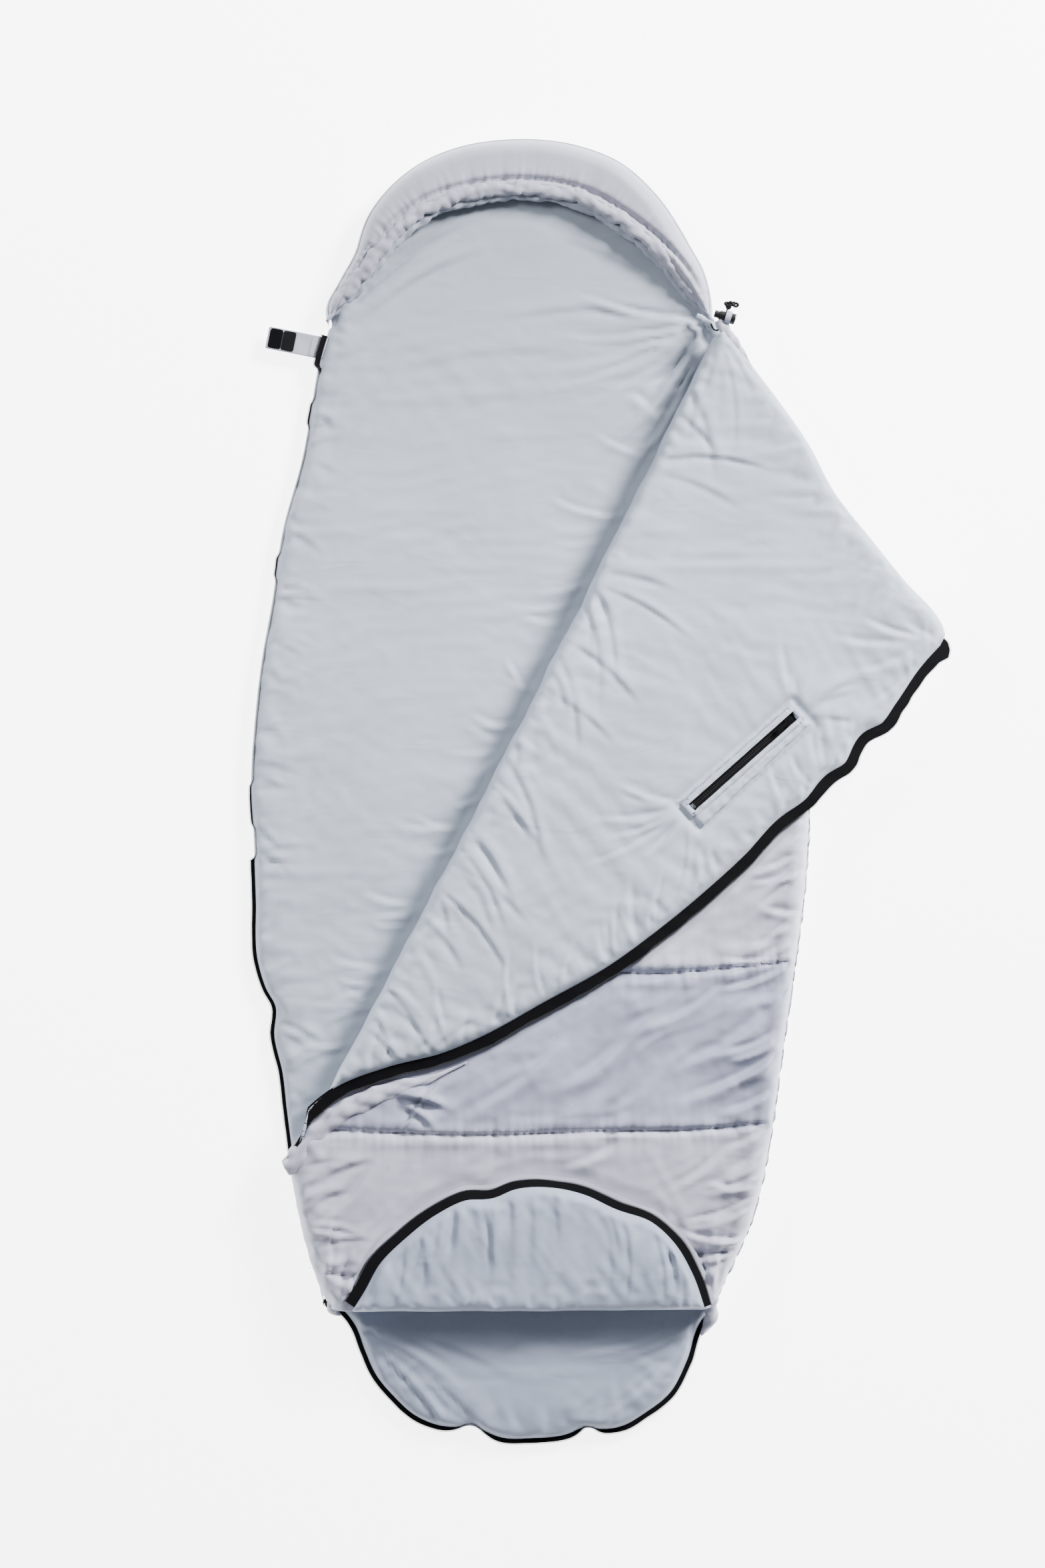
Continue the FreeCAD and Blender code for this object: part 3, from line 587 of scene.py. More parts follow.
# ---- drawcord's free end ------------------------------------------------------------------
CORD_ROUTE = [
    (298.0, 755.2, 54.0), (300.4, 747.0, 55.5), (304.0, 742.6, 63.0), (309.0, 741.8, 72.0),
    (314.2, 746.2, 79.2), (320.6, 767.2, 80.6), (324.5, 781.0, 79.0), (334.5, 786.5, 76.0),
]
KNOT = (324.5, 781.0, 79.0)
curve = bpy.data.curves.new("drawcord_end", "CURVE")
curve.dimensions = "3D"
line = curve.splines.new("NURBS")
line.points.add(len(CORD_ROUTE) - 1)
for spot, place in zip(line.points, CORD_ROUTE):
    spot.co = (*(np.array(place) * MM), 1)
line.order_u = 3
line.use_endpoint_u = True
curve.resolution_u = 12
curve.bevel_depth = 0.0015
curve.bevel_resolution = 4
curve.use_fill_caps = True
curve.materials.append(CORD)
cord_end = bpy.data.objects.new("drawcord_end", curve)
bpy.context.scene.collection.objects.link(cord_end)
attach(cord_end, "bag")
finish(cord_end, "drawcord", "drawcord_tail")


def knot_piece():
    """An overhand knot: one turn of cord wound round itself."""
    t = np.linspace(0, 2 * math.pi, 90)
    k = np.stack([np.sin(t) + 2 * np.sin(2 * t), np.cos(t) - 2 * np.cos(2 * t), -np.sin(3 * t)], 1)
    k = k * np.array((2.0, 1.9, 2.0)) + np.array(KNOT)
    made = tube("drawcord_knot_turns", k, 2.2, CORD, 10)
    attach(made, "bag")
    return finish(made, "drawcord", "drawcord_knot")


def loop_piece():
    """The cord's looped end beyond the knot."""
    t = np.linspace(-2.4, 2.4, 40)
    k = np.stack([336.0 + 3.6 * np.cos(t), 781.0 + 2.4 * np.sin(t), 77.5 + 1.2 * np.sin(2 * t)], 1)
    route = np.vstack([(328.0, 783.0, 78.5), k, (328.0, 780.0, 78.5)])
    made = tube("drawcord_loop_end", route, 2.1, CORD, 10)
    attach(made, "bag")
    return finish(made, "drawcord")


knot, loop_end = knot_piece(), loop_piece()

# ---- plans, in millimetres ----------------------------------------------------------------
LEFT_EDGE = [
    (-322, 752), (-336, 706), (-353, 610), (-365, 545), (-397, 427), (-415, 308), (-432, 212),
    (-443, 115), (-449, 7), (-445, -68), (-441, -175), (-437, -280), (-424, -322), (-409, -350),
    (-411, -396), (-397, -461), (-391, -514), (-382, -585),
]
LEFT_FOOT = [(-382, -585), (-373, -640), (-345, -760), (-318, -834)]
FOOT_EDGE = [
    (-318, -834), (-298, -846), (-279, -870), (-263, -911), (-246, -949), (-214, -988),
    (-181, -1017), (-146, -1032), (-112, -1036), (-90, -1034), (-68, -1043), (-40, -1053), (6, -1054),
    (67, -1047), (93, -1037), (113, -1039), (156, -1034), (193, -1013), (232, -982), (261, -928),
    (281, -868), (303, -838),
]
RIGHT_EDGE = [
    (303, -838), (330, -777), (360, -713), (377, -659), (398, -551), (419, -401), (436, -283),
    (455, -121), (459, -14), (452, 120), (434, 240), (415, 330), (394, 430), (363, 590), (342, 690),
    (302, 752),
]
HOOD_OUTER = [
    (302, 752), (301, 790), (286, 842), (259, 885), (206, 964), (149, 1015), (84, 1041), (-13, 1051),
    (-109, 1034), (-192, 990), (-249, 929), (-273, 872), (-303, 826), (-326, 784), (-322, 752),
]
HOOD_LIP = [
    (302, 762), (270, 806), (238, 846), (172, 907), (84, 958), (-13, 972), (-91, 964), (-157, 942),
    (-210, 903), (-255, 850), (-298, 798), (-324, 762),
]
FOLD_TOP, FOLD_END = np.array((304.0, 738.0)), np.array((-381.0, -599.0))
FOLD_DIRECTION = (FOLD_END - FOLD_TOP) / np.linalg.norm(FOLD_END - FOLD_TOP)
FOLD_BOW, FOLD_WAVE = 7, 4
ZIP_EDGE = [
    (678, 224), (646, 188), (607, 131), (581, 96), (550, 79), (522, 32), (491, 12), (460, -25),
    (415, -58), (364, -113), (302, -170), (226, -233), (138, -297), (36, -354), (-66, -410),
    (-128, -436), (-217, -459), (-300, -492), (-350, -535), (-378, -577),
]
FRONT_HEM = [
    (320, 742), (364, 681), (402, 631), (454, 556), (491, 486), (555, 403), (605, 341), (669, 264),
    (676, 240),
]
FOOT_ARC = [
    (-300, -842), (-272, -798), (-246, -752), (-202, -708), (-148, -667), (-101, -645), (-56, -641),
    (-24, -628), (41, -624), (97, -636), (147, -659), (207, -681), (246, -716), (279, -772), (300, -832),
]
SEAMS = [
    [(60, -284), (150, -293), (250, -291), (340, -282), (436, -269)],
    [(-330, -546), (-279, -548), (-97, -553), (118, -548), (260, -545), (403, -533)],
    [(-352, -772), (-312, -777), (-247, -783)],
    [(267, -748), (310, -742), (352, -748)],
]
TAPE_WIDTH = 17


def fold_line(inset):
    """The folded edge from the neck to the foot of the fold, moved into the flap."""
    t = np.linspace(0, 1, 360)
    p = FOLD_TOP + (FOLD_END - FOLD_TOP) * t[:, None]
    across = np.array((-FOLD_DIRECTION[1], FOLD_DIRECTION[0]))
    bow = FOLD_BOW * np.sin(math.pi * t) ** 1.2
    ripple = wander(t * 17, 3) + 0.6 * wander(t * 41, 4)
    ripple = FOLD_WAVE * ripple * np.sin(math.pi * t) ** 0.3
    return p + across * np.maximum(inset + bow + ripple, 0.3 + inset)[:, None]


left_edge = smooth_line(LEFT_EDGE)
left_foot = smooth_line(LEFT_FOOT)
foot_edge = smooth_line(FOOT_EDGE)
right_edge = smooth_line(RIGHT_EDGE)
hood_outer = smooth_line(HOOD_OUTER)
q = np.linspace(0, 1, len(hood_outer))
reach = np.minimum(1, 6 * np.minimum(q, 1 - q)) * (10 + 7 * np.exp(-(((q - 0.68) / 0.12) ** 2)))
hood_outer = outside(hood_outer, reach, (0, 0))
hood_lip = smooth_line(HOOD_LIP)
zip_outer = smooth_line(ZIP_EDGE)
foot_arc_outer = smooth_line(FOOT_ARC)
hem_line = smooth_line(FRONT_HEM)


# ---- back quilt and the hood's back -------------------------------------------------------
def random_creases(rng, line, side, count, reach, width, height, lean, bias=0.0):
    """Creases that start near a line and run to one side of it."""
    made = []
    t = np.gradient(line, axis=0)
    t /= np.linalg.norm(t, axis=1)[:, None]
    for _ in range(count):
        i = rng.integers(len(line))
        a = math.atan2(t[i, 1], t[i, 0]) + side * math.pi / 2 + bias + rng.normal(0, lean)
        start = line[i] + rng.uniform(0, 14) * np.array((math.cos(a), math.sin(a)))
        end = start + rng.uniform(0.4, 1) * reach * np.array((math.cos(a), math.sin(a)))
        made.append((*start, *end, width * rng.uniform(0.7, 1.4), height * rng.uniform(0.4, 1)))
    return made


def radiating(rng, centre, low, high, count, near, far, width, height):
    """Creases that fan out from a point, between two angles in degrees."""
    made = []
    for _ in range(count):
        a = math.radians(rng.uniform(low, high))
        r0, r1 = rng.uniform(*near), rng.uniform(*far)
        c, s = math.cos(a), math.sin(a)
        made.append((centre[0] + r0 * c, centre[1] + r0 * s, centre[0] + r1 * c, centre[1] + r1 * s,
                     width * rng.uniform(0.7, 1.4), height * rng.uniform(0.4, 1)))
    return made


def make_back():
    """The back quilt with the hood's back, whose lining faces up."""
    hood = sideways(hood_outer, -7)[1:-1]
    outer = np.vstack([left_edge, left_foot[1:], foot_edge[1:], right_edge[1:], hood])
    plan = Plan(outer, 6.1)
    x, y, d, s = plan.xy[:, 0], plan.xy[:, 1], plan.d, plan.s
    rng = np.random.default_rng(11)
    hidden = ease((x - (FOLD_TOP[0] + (y - FOLD_TOP[1]) * 0.512) - 60) / 60) * ease((y + 860) / 20)
    hidden *= ease((760 - y) / 60)
    open_area = 1 - hidden
    right = ease((x - 150) / 150) * ease((y + 850) / 60) * ease((800 - y) / 60)
    top = 13 + 6 * right + (16 - 6 * right) * dome(d, 65)
    bottom = 0.5 + (12 + 6 * right) * (1 - dome(d, 18))
    relief = 3.2 * perlin(x / 210, y / 160, 1) + 1.6 * perlin(x / 95, y / 70, 2)
    relief += 1.5 * np.maximum(folds(x, y, 24, 190, 42, 3), 0) * patches(x, y, 170, 4)
    relief += 1.2 * np.maximum(folds(x, y, -38, 150, 36, 6), 0) * patches(x, y, 190, 7)
    relief += 1.1 * np.maximum(folds(x, y, 4, 230, 30, 8), 0) * patches(x, y, 150, 9)
    relief += 3.0 * np.exp(-d / 34) * perlin(s / 21, d / 90, 10) * open_area
    relief += 1.7 * np.exp(-d / 18) * perlin(s / 10, d / 60, 12) * open_area
    creases = radiating(rng, (300, 762), 168, 215, 16, (5, 40), (120, 330), 5.5, 4.6)
    creases += radiating(rng, (296, 745), 222, 248, 10, (10, 60), (120, 260), 5.5, 6.0)
    creases += random_creases(rng, fold_line(0), -1, 42, 110, 5.5, 3.4, 0.35, 0.5)
    creases += random_creases(rng, left_edge, 1, 34, 80, 4.5, 2.6, 0.5)
    creases += random_creases(rng, foot_edge, 1, 26, 90, 6.5, 2.4, 0.6)
    creases += radiating(rng, (-296, -852), -62, -8, 10, (5, 40), (110, 330), 7, 4.2)
    creases += radiating(rng, (292, -852), 190, 250, 9, (5, 40), (90, 260), 7, 3.8)
    creases += [(-318, 775, -150, 915, 6, 6.0), (-296, 770, -120, 905, 6, -5.0), (-268, 768, -80, 880, 8, 4),
                (-40, 770, 230, 772, 8, 2.4), (-280, 800, -60, 940, 7, 2.4), (60, 900, 250, 800, 9, 2.0),
                (-200, 690, 100, 712, 11, 1.6), (-330, -380, -240, -352, 6, 2.5),
                (-372, -440, -290, -420, 6, 2.4)]
    relief += strokes(x, y, creases) * open_area
    fade = ease(d / 14)
    fold_dip = 7 * np.exp(-line_distance(plan.xy, fold_line(-14))[0] / 40) * ease((y + 600) / 80)
    top = top - fold_dip * fade
    slack = settle(plan, top, 201, 0.02, 0.004)
    exposed = np.where(hidden > 0.5, 0.6, 1)
    top = top + relief * fade * exposed + slack[:, 2] * np.where(hidden > 0.5, 0.4, 1)
    top = np.maximum(limited(top, 28.5, 6), bottom + 3)
    # Upper faces below y = -780 take the darker lining copy: painted shade at the foot.
    made = quilt("back_quilt", plan, top, bottom, [LINING, SHELL, LINING_FOOT_PAINTED_SHADE], shift=slack[:, :2] * 0.6,
                 pick=lambda c, upper: np.where(~upper | (c[:, 2] < 9.0), 1, np.where(c[:, 1] < -780, 2, 0)))
    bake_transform(made)
    finish(made, "lining_fabric", "back_shell", "back_batting", "back_lining", "hood_back_shell",
           "hood_back_batting", "hood_back_lining")


# ---- fixed part of the front quilt --------------------------------------------------------
def seam_drop(p, seams, wide, deep):
    """How far the seams pull the shell down, and the puckers beside them."""
    total = np.zeros(len(p))
    pucker = np.zeros(len(p))
    for k, seam in enumerate(seams):
        line = smooth_line(seam)
        near, along = line_distance(p, line)
        total = np.maximum(total, deep * np.exp(-((near / wide) ** 1.1)))
        pucker += np.exp(-near / 20) * perlin(along / 9.5, near / 60, 40 + k) * 4.2
        pucker += np.exp(-near / 55) * perlin(along / 30, near / 110, 50 + k) * 5.0
    return total, pucker


def make_front():
    """The part of the front that stays closed, with its panel seams; calm where the flaps lie on it."""
    roll = fold_line(0)
    foot = respaced(np.array([(-316.0, -837.5), (-150, -837), (100, -836), (300, -834.5)]), 4)
    t = lengths(right_edge)
    scallop = 2.6 * wander(t / 17, 44) + 1.6 * wander(t / 8, 45) + 1.5
    right = sideways(right_edge, scallop)
    q = np.linspace(0, 1, len(left_foot))
    over = 6.0 * ease(q / 0.12) * ease((1 - q) / 0.1) + 1.5 * wander(q * 14, 46)
    left = outside(left_foot, over, (0, -700))
    outer = np.vstack([roll[2:], left[2:-2], foot, right[2:-12], [(326, 726), (316, 737)]])
    plan = Plan(outer, 4.8)
    x, y, d, s = plan.xy[:, 0], plan.xy[:, 1], plan.d, plan.s
    d_fold = line_distance(plan.xy, roll)[0]
    d_foot = line_distance(plan.xy, foot)[0]
    d_left = line_distance(plan.xy, left)[0]
    d_right = line_distance(plan.xy, right_edge)[0]
    rng = np.random.default_rng(21)
    zip_y = np.interp(x, zip_outer[::-1, 0], zip_outer[::-1, 1])
    visible = ease((zip_y - y + 4) / 30)
    arch = foot_arc_height(x)
    under_foot = ease((arch + 12 - y) / 24) * (np.abs(x) < 300)
    visible = visible * (1 - under_foot)
    rise = 9 * ease((zip_y - y) / 80) * (1 - under_foot) * ease((y - arch) / 70)
    drop, pucker = seam_drop(plan.xy, SEAMS, 7, 14)
    top = 66 + rise - drop * np.where(visible > 0.2, 1, 0.5)
    top = np.minimum(top, 26 + 46 * dome(d_right, 42))
    top = np.minimum(top, 36 + 34 * dome(d_left, 45))
    relief = 2.6 * perlin(x / 150, y / 90, 31) + pucker
    calm = 0.45 + 0.55 * ease((y + 560) / 40)
    relief += 5.0 * np.maximum(folds(x, y, 38, 190, 46, 33), 0) * patches(x, y, 150, 34, -0.3, 0.2) * calm
    relief += 3.0 * np.maximum(folds(x, y, 22, 170, 38, 36), 0) * patches(x, y, 140, 37, -0.3, 0.25) * calm
    relief += 3.2 * np.exp(-d_right / 40) * perlin(s / 15, d / 80, 38)
    relief += 2.4 * np.exp(-d_right / 16) * perlin(s / 7, d / 80, 39)
    relief += 3.0 * np.exp(-d_left / 40) * perlin(s / 16, d / 80, 41)
    creases = random_creases(rng, left_foot, 1, 14, 110, 6, 3.0, 0.5)
    creases += random_creases(rng, right_edge[: len(right_edge) // 2], 1, 34, 140, 6, 4.6, 0.2, 0.6)
    creases += radiating(rng, (300, -836), 60, 140, 9, (5, 40), (80, 190), 7, 3.0)
    creases += radiating(rng, (-305, -836), 40, 105, 9, (5, 40), (80, 180), 7, 3.0)
    creases += radiating(rng, (-230, -480), -50, -12, 7, (10, 60), (60, 130), 8, 3.0)
    creases += [(-199, -549, -136, -458, 3.5, -4.5), (60, -400, -90, -520, 10, 4.6),
                (230, -330, 60, -480, 12, 5.0),
                (420, -330, 240, -450, 11, 5.0), (400, -420, 250, -500, 9, 4.2),
                (330, -300, 180, -390, 8, 3.6), (-240, -600, -330, -700, 9, 4.0),
                (150, -570, 60, -610, 8, 3.0), (330, -570, 240, -640, 8, 3.5),
                (-330, -620, -250, -590, 7, 3.5)]
    relief += strokes(x, y, creases)
    slack = settle(plan, top, 202, 0.024, 0.008)
    relief = 1.35 * relief * ease(d / 12) + slack[:, 2]
    shallow = np.minimum(relief, 0) * 0.8
    top = top + np.where(visible > 0.02, relief * visible + shallow * (1 - visible), shallow)
    low = 24 + 18 * dome(d_right, 45)
    low = np.minimum(low, 30 + 12 * dome(d_left, 30))
    bottom = np.minimum(low, 42.2) + 24 * (1 - dome(np.minimum(d_fold, d_foot), 30))
    bottom = np.minimum(bottom, top - 2)
    dark_low, dark_high = -547, -289

    def pick(c, upper):
        mid = (c[:, 1] < dark_high + 0.03 * c[:, 0]) & (c[:, 1] > dark_low)
        return np.where(upper, np.where(mid, 2, 0), 1)

    shift = slack[:, :2] * 0.6 * visible[:, None]
    made = quilt("front_quilt", plan, top, bottom, [SHELL, LINING, SHELL_DARK], shift=shift, pick=pick)
    soft(made, "bag", "shell_fabric", "front_shell_shoulder", "front_shell_middle", "front_shell_lower",
         "front_shell_foot", "front_batting", "front_lining", "right_side_wall")
    return Surface(plan, np.where(plan.rim, (top + bottom) / 2, top))


def foot_arc_height(x):
    """Where the foot flap's arc lies at each x."""
    order = np.argsort(foot_arc_outer[:, 0])
    return np.interp(x, foot_arc_outer[order, 0], foot_arc_outer[order, 1], left=-900, right=-900)


# ---- folded flap --------------------------------------------------------------------------
SLIT_START, SLIT_END = np.array((428.0, 120.0)), np.array((266.0, -24.0))
SLIT_ALONG = (SLIT_END - SLIT_START) / np.linalg.norm(SLIT_END - SLIT_START)
SLIT_ACROSS = np.array((-SLIT_ALONG[1], SLIT_ALONG[0]))
SLIT_LENGTH = float(np.linalg.norm(SLIT_END - SLIT_START))
zip_inner = outside(zip_outer, -TAPE_WIDTH, (0, 200))


def mirrored(p):
    """Where a point of the flap lies in plan when the front is closed, and the other way round."""
    n = np.array((-FOLD_DIRECTION[1], FOLD_DIRECTION[0]))
    return p - 2 * np.outer((p - FOLD_TOP) @ n, n)


def slit_frame(p):
    """Places along and across the hand slit."""
    q = p - SLIT_START
    return q @ SLIT_ALONG, q @ SLIT_ACROSS


def make_flap():
    """The part of the front that is folded back, lining up, with the hand slit sunk into it."""
    roll = fold_line(0.6)[2:-6]
    keep = zip_inner[zip_inner[:, 0] > -352]
    outer = np.vstack([roll, keep[::-1], hem_line[::-1][3:]])
    plan = Plan(outer, 4.6)
    x, y, d, s = plan.xy[:, 0], plan.xy[:, 1], plan.d, plan.s
    d_fold, s_fold = line_distance(plan.xy, roll)
    d_zip, s_zip = line_distance(plan.xy, keep)
    d_hem = line_distance(plan.xy, hem_line)[0]
    d_open = np.minimum(d_zip, d_hem)
    rng = np.random.default_rng(31)
    middle = np.sin(math.pi * np.clip(s_fold / s_fold.max(), 0, 1))
    ridge = 6 * np.exp(-(((d_fold - 42) / 34) ** 2)) * ease(middle / 0.5)
    top = np.minimum(67.0 + 24 * dome(d_fold, 24 + 8 * middle) + ridge, 79 + 13 * dome(d_open, 42))
    bottom = 66.9 + 11 * (1 - dome(d_open, 13))
    relief = 3.0 * perlin(x / 190, y / 150, 61) + 1.8 * perlin(x / 85, y / 75, 62)
    relief += 2.0 * np.maximum(folds(x, y, 28, 170, 36, 63), 0) * patches(x, y, 170, 64)
    relief += 1.8 * np.maximum(folds(x, y, -14, 150, 34, 66), 0) * patches(x, y, 160, 67)
    relief += 1.5 * np.maximum(folds(x, y, 62, 190, 30, 68), 0) * patches(x, y, 150, 69)
    relief += 3.2 * np.exp(-d_zip / 45) * perlin(s_zip / 26, d_zip / 110, 70)
    relief += 2.2 * np.exp(-d_zip / 20) * perlin(s_zip / 11, d_zip / 60, 71)
    relief += 2.0 * np.exp(-d_hem / 26) * perlin(s / 14, d_hem / 60, 72)
    relief += 3.2 * np.exp(-d_fold / 60) * perlin(s_fold / 24, d_fold / 130, 73)
    relief += 1.6 * np.exp(-d_fold / 26) * perlin(s_fold / 10, d_fold / 70, 74)
    creases = random_creases(rng, roll, 1, 50, 180, 6, 3.6, 0.35, -0.5)
    creases += random_creases(rng, keep, -1, 44, 110, 5, 4.0, 0.3, -0.6)
    creases += random_creases(rng, hem_line, -1, 16, 70, 5, 2.2, 0.5)
    creases += radiating(rng, (262, -26), 150, 262, 12, (14, 30), (70, 200), 5, 3.6)
    creases += radiating(rng, (432, 124), -20, 110, 9, (14, 26), (60, 130), 5.5, 2.8)
    creases += radiating(rng, (662, 236), 150, 236, 8, (5, 30), (60, 170), 7, 3.0)
    creases += radiating(rng, (312, 735), 240, 300, 6, (5, 30), (80, 200), 6, 2.2)
    relief += strokes(x, y, creases)
    u, v = slit_frame(plan.xy)
    beyond_ends = np.maximum(np.maximum(-14 - u, u - SLIT_LENGTH - 14), 0)
    off = np.hypot(beyond_ends, np.maximum(np.abs(v - 7) - 27, 0))
    near_slit = 1 - ease(off / 20)
    relief *= ease(np.minimum(d_open / 13, d_fold / 5))
    slack = settle(plan, top, 203, 0.022, 0.005)
    relief = np.minimum(1.15 * relief + slack[:, 2], 11)
    top = (top + relief) * (1 - near_slit) + near_slit * (90.0 + 0.12 * relief)
    top = top - 2.4 * np.exp(-(((off - 3) / 4.5) ** 2)) * (off > 0)
    top = np.maximum(limited(top, 92, 5.5), bottom + 1.5)
    under = np.maximum(relief, 0) * 0.5 * ease(d / 20) * (1 - near_slit)
    hollow = (np.abs(v) < 9.5) & (u > 0) & (u < SLIT_LENGTH)
    top = np.where(hollow, top - 5, top)
    shift = slack[:, :2] * 0.6 * (1 - near_slit)[:, None]
    def pick(c, upper):
        dark = np.abs(mirrored(c[:, :2])[:, 1] + 420) < 127
        return np.where(upper, 0, np.where(dark, 2, 1))

    cloths = [LINING, SHELL, SHELL_DARK]
    made = quilt("flap_quilt", plan, top, bottom + under, cloths, shift=shift, pick=pick)
    soft(made, "front_flap", "lining_fabric", "flap_shell", "flap_batting", "flap_lining",
         "flap_neck_binding")
    return Surface(plan, np.where(plan.rim, (top + bottom) / 2, top)), keep


# ---- foot flap ----------------------------------------------------------------------------
def make_foot_flap():
    """The foot end of the front, folded up over it, lining up."""
    inner = outside(foot_arc_outer, -12, (0, -900))
    inner = inner[inner[:, 1] > -830]
    fold = respaced(np.array([inner[-1] * (1, 0) + (4, -833), (150, -835), (0, -836.5), (-150, -837),
                              inner[0] * (1, 0) + (-4, -837.4)]), 4)
    fold[:, 1] = np.maximum(fold[:, 1] + 2.2 * wander(fold[:, 0] / 60, 80), -837.6)
    plan = Plan(np.vstack([inner, fold]), 4.2)
    x, y = plan.xy[:, 0], plan.xy[:, 1]
    d_fold, s_fold = line_distance(plan.xy, fold)
    d_arc, s_arc = line_distance(plan.xy, inner)
    rng = np.random.default_rng(41)
    top = np.minimum(67.0 + 23 * dome(d_fold, 34), 77 + 11 * dome(d_arc, 40))
    bottom = 66.9 + 9.5 * (1 - dome(d_arc, 13))
    relief = 2.6 * perlin(x / 110, y / 90, 81)
    relief += 3.0 * np.exp(-d_arc / 50) * perlin(s_arc / 22, d_arc / 90, 82)
    relief += 2.6 * np.maximum(folds(x, y, 84, 150, 30, 83), 0) * patches(x, y, 90, 84, -0.3, 0.2)
    relief += 2.0 * np.maximum(folds(x, y, 118, 120, 26, 85), 0) * patches(x, y, 90, 86, -0.3, 0.2)
    relief += 2.6 * np.exp(-d_fold / 30) * perlin(s_fold / 20, d_fold / 60, 87)
    creases = []
    for _ in range(34):
        start = inner[rng.integers(len(inner))] - (0, rng.uniform(2, 16))
        a = math.radians(-90 + start[0] * 0.05 + rng.normal(0, 12))
        end = start + rng.uniform(50, 130) * np.array((math.cos(a), math.sin(a)))
        creases.append((*start, *end, 6 * rng.uniform(0.7, 1.4), 3.2 * rng.uniform(0.4, 1)))
    creases += random_creases(rng, fold, -1, 12, 50, 5, 1.6, 0.3)
    relief += strokes(x, y, creases)
    slack = settle(plan, top, 204, 0.02, 0.008)
    relief = 1.2 * relief * ease(np.minimum(d_arc / 13, d_fold / 5)) + slack[:, 2]
    top = np.maximum(limited(top + relief, 91, 6), bottom + 1.5)
    # The foot flap's upper faces take the darker lining copy: painted shade.
    made = quilt("foot_flap_quilt", plan, top, bottom, [LINING_FOOT_PAINTED_SHADE, SHELL], shift=slack[:, :2] * 0.6,
                 pick=lambda c, upper: ~upper)
    soft(made, "foot_flap", "lining_fabric", "foot_flap_shell", "foot_flap_batting", "foot_flap_lining")
    return inner


# ---- hood rim -----------------------------------------------------------------------------
def make_hood():
    """The hood's padded rim, its drawcord channel, the lining's cuff beside it, seam stitches and piping."""
    outer = np.vstack([hood_outer[1:-1], hood_lip[::-1][1:-1]])
    plan = Plan(outer, 3.8)
    x, y, d = plan.xy[:, 0], plan.xy[:, 1], plan.d
    d_out, s_out = line_distance(plan.xy, hood_outer)
    d_lip, s_lip = line_distance(plan.xy, hood_lip)
    width = d_out + d_lip
    lift = ease((width - 4) / 48)
    rng = np.random.default_rng(51)
    seat = 27 + 15 * lift
    top = np.minimum(5 + (seat + 20 - 5) * dome(d_out, 34), seat + 6 + 19 * dome(d_lip, 30))
    bottom = np.minimum(5 + (seat - 5) * dome(d_out, 30), seat + 5 * (1 - dome(d_lip, 14)))
    bottom = np.minimum(bottom, top - 1)
    relief = 2.4 * perlin(x / 95, y / 80, 91)
    relief += 4.2 * np.exp(-np.abs(d_lip - 18) / 13) * perlin(s_lip / 7, d_lip / 80, 92)
    relief += 2.4 * np.exp(-d_lip / 45) * perlin(s_lip / 24, d_lip / 90, 93)
    relief += 1.8 * np.exp(-d_out / 20) * perlin(s_out / 16, d_out / 60, 94)
    relief += strokes(x, y, random_creases(rng, hood_lip, 1, 46, 60, 3.6, 2.4, 0.4))
    seam_at = 16 * lift
    relief -= 8.5 * np.exp(-(((d_lip - seam_at) / 4.2) ** 2)) * lift
    relief *= ease(d / 12)
    top = np.maximum(top + relief, bottom + 0.8)
    made = quilt("hood_rim", plan, top, bottom, [SHELL, LINING], pick=lambda c, upper: ~upper)
    soft(made, "hood", "shell_fabric", "hood_rim_shell", "hood_rim_batting", "hood_rim_lining",
         "hood_side_wall")
    surface = Surface(plan, np.where(plan.rim, (top + bottom) / 2, top))
    t = lengths(hood_lip)
    share = t / t[-1]
    taper = ease(share / 0.09) * ease((1 - share) / 0.09)
    height = 33 + 21 * ease(share / 0.22) * ease((1 - share) / 0.22)
    wobble = 3.4 * wander(t / 18, 95) + 2.4 * wander(t / 8, 96)
    lip = np.c_[sideways(hood_lip, 1.5 + wobble), height + 1.4 * wander(t / 13, 97)]
    shapes = [wander(t / 13.0, 100 + k) for k in range(4)]
    slow = wander(t / 75, 104)

    def ripple(i, a):
        turn = 7.0 * slow[i]
        r = 0.14 * shapes[0][i] + 0.3 * shapes[1][i] * math.cos(a) + 0.26 * shapes[2][i] * math.sin(a)
        return r + 0.24 * np.abs(np.cos(1.5 * a + turn)) - 0.14 + 0.2 * shapes[3][i] * np.cos(3 * a - turn)

    channel = tube("drawcord_channel_roll", lip, 2.0 + 9.0 * taper, SHELL, 20, 0.85, ripple)
    soft(channel, "hood", "shell_fabric", "drawcord_channel", "hood_drawcord", fill=0.4)
    depth = 9.0 * taper + 3.0 * wander(t / 45, 99)
    inner = outside(hood_lip, -depth - 0.8 * wobble, (0, 700))
    inner = np.c_[inner, height - 9 + 1.4 * wander(t / 15, 98)]
    cuff = tube("hood_lining_cuff", inner, 1.6 + 6.2 * taper, LINING, 16, 0.8, ripple)
    soft(cuff, "hood", "lining_fabric", fill=0.3)
    seam = outside(hood_lip, -16.0, (0, 1040))
    seam = seam[(share > 0.16) & (share < 0.86)]
    seam = np.c_[seam, surface(seam)]
    stitches("hood_seam_stitches", seam, "hood", 4.5)
    piping = outside(hood_outer, -6, (-12, 745))[4:-4]
    high = np.convolve(np.pad(surface(piping), 6, mode="edge"), np.ones(13) / 13, mode="valid")
    piping = tube("hood_piping", np.c_[piping, high + 0.2], 1.3, SHELL, 8)
    soft(piping, "hood", "shell_fabric", fill=0.8)


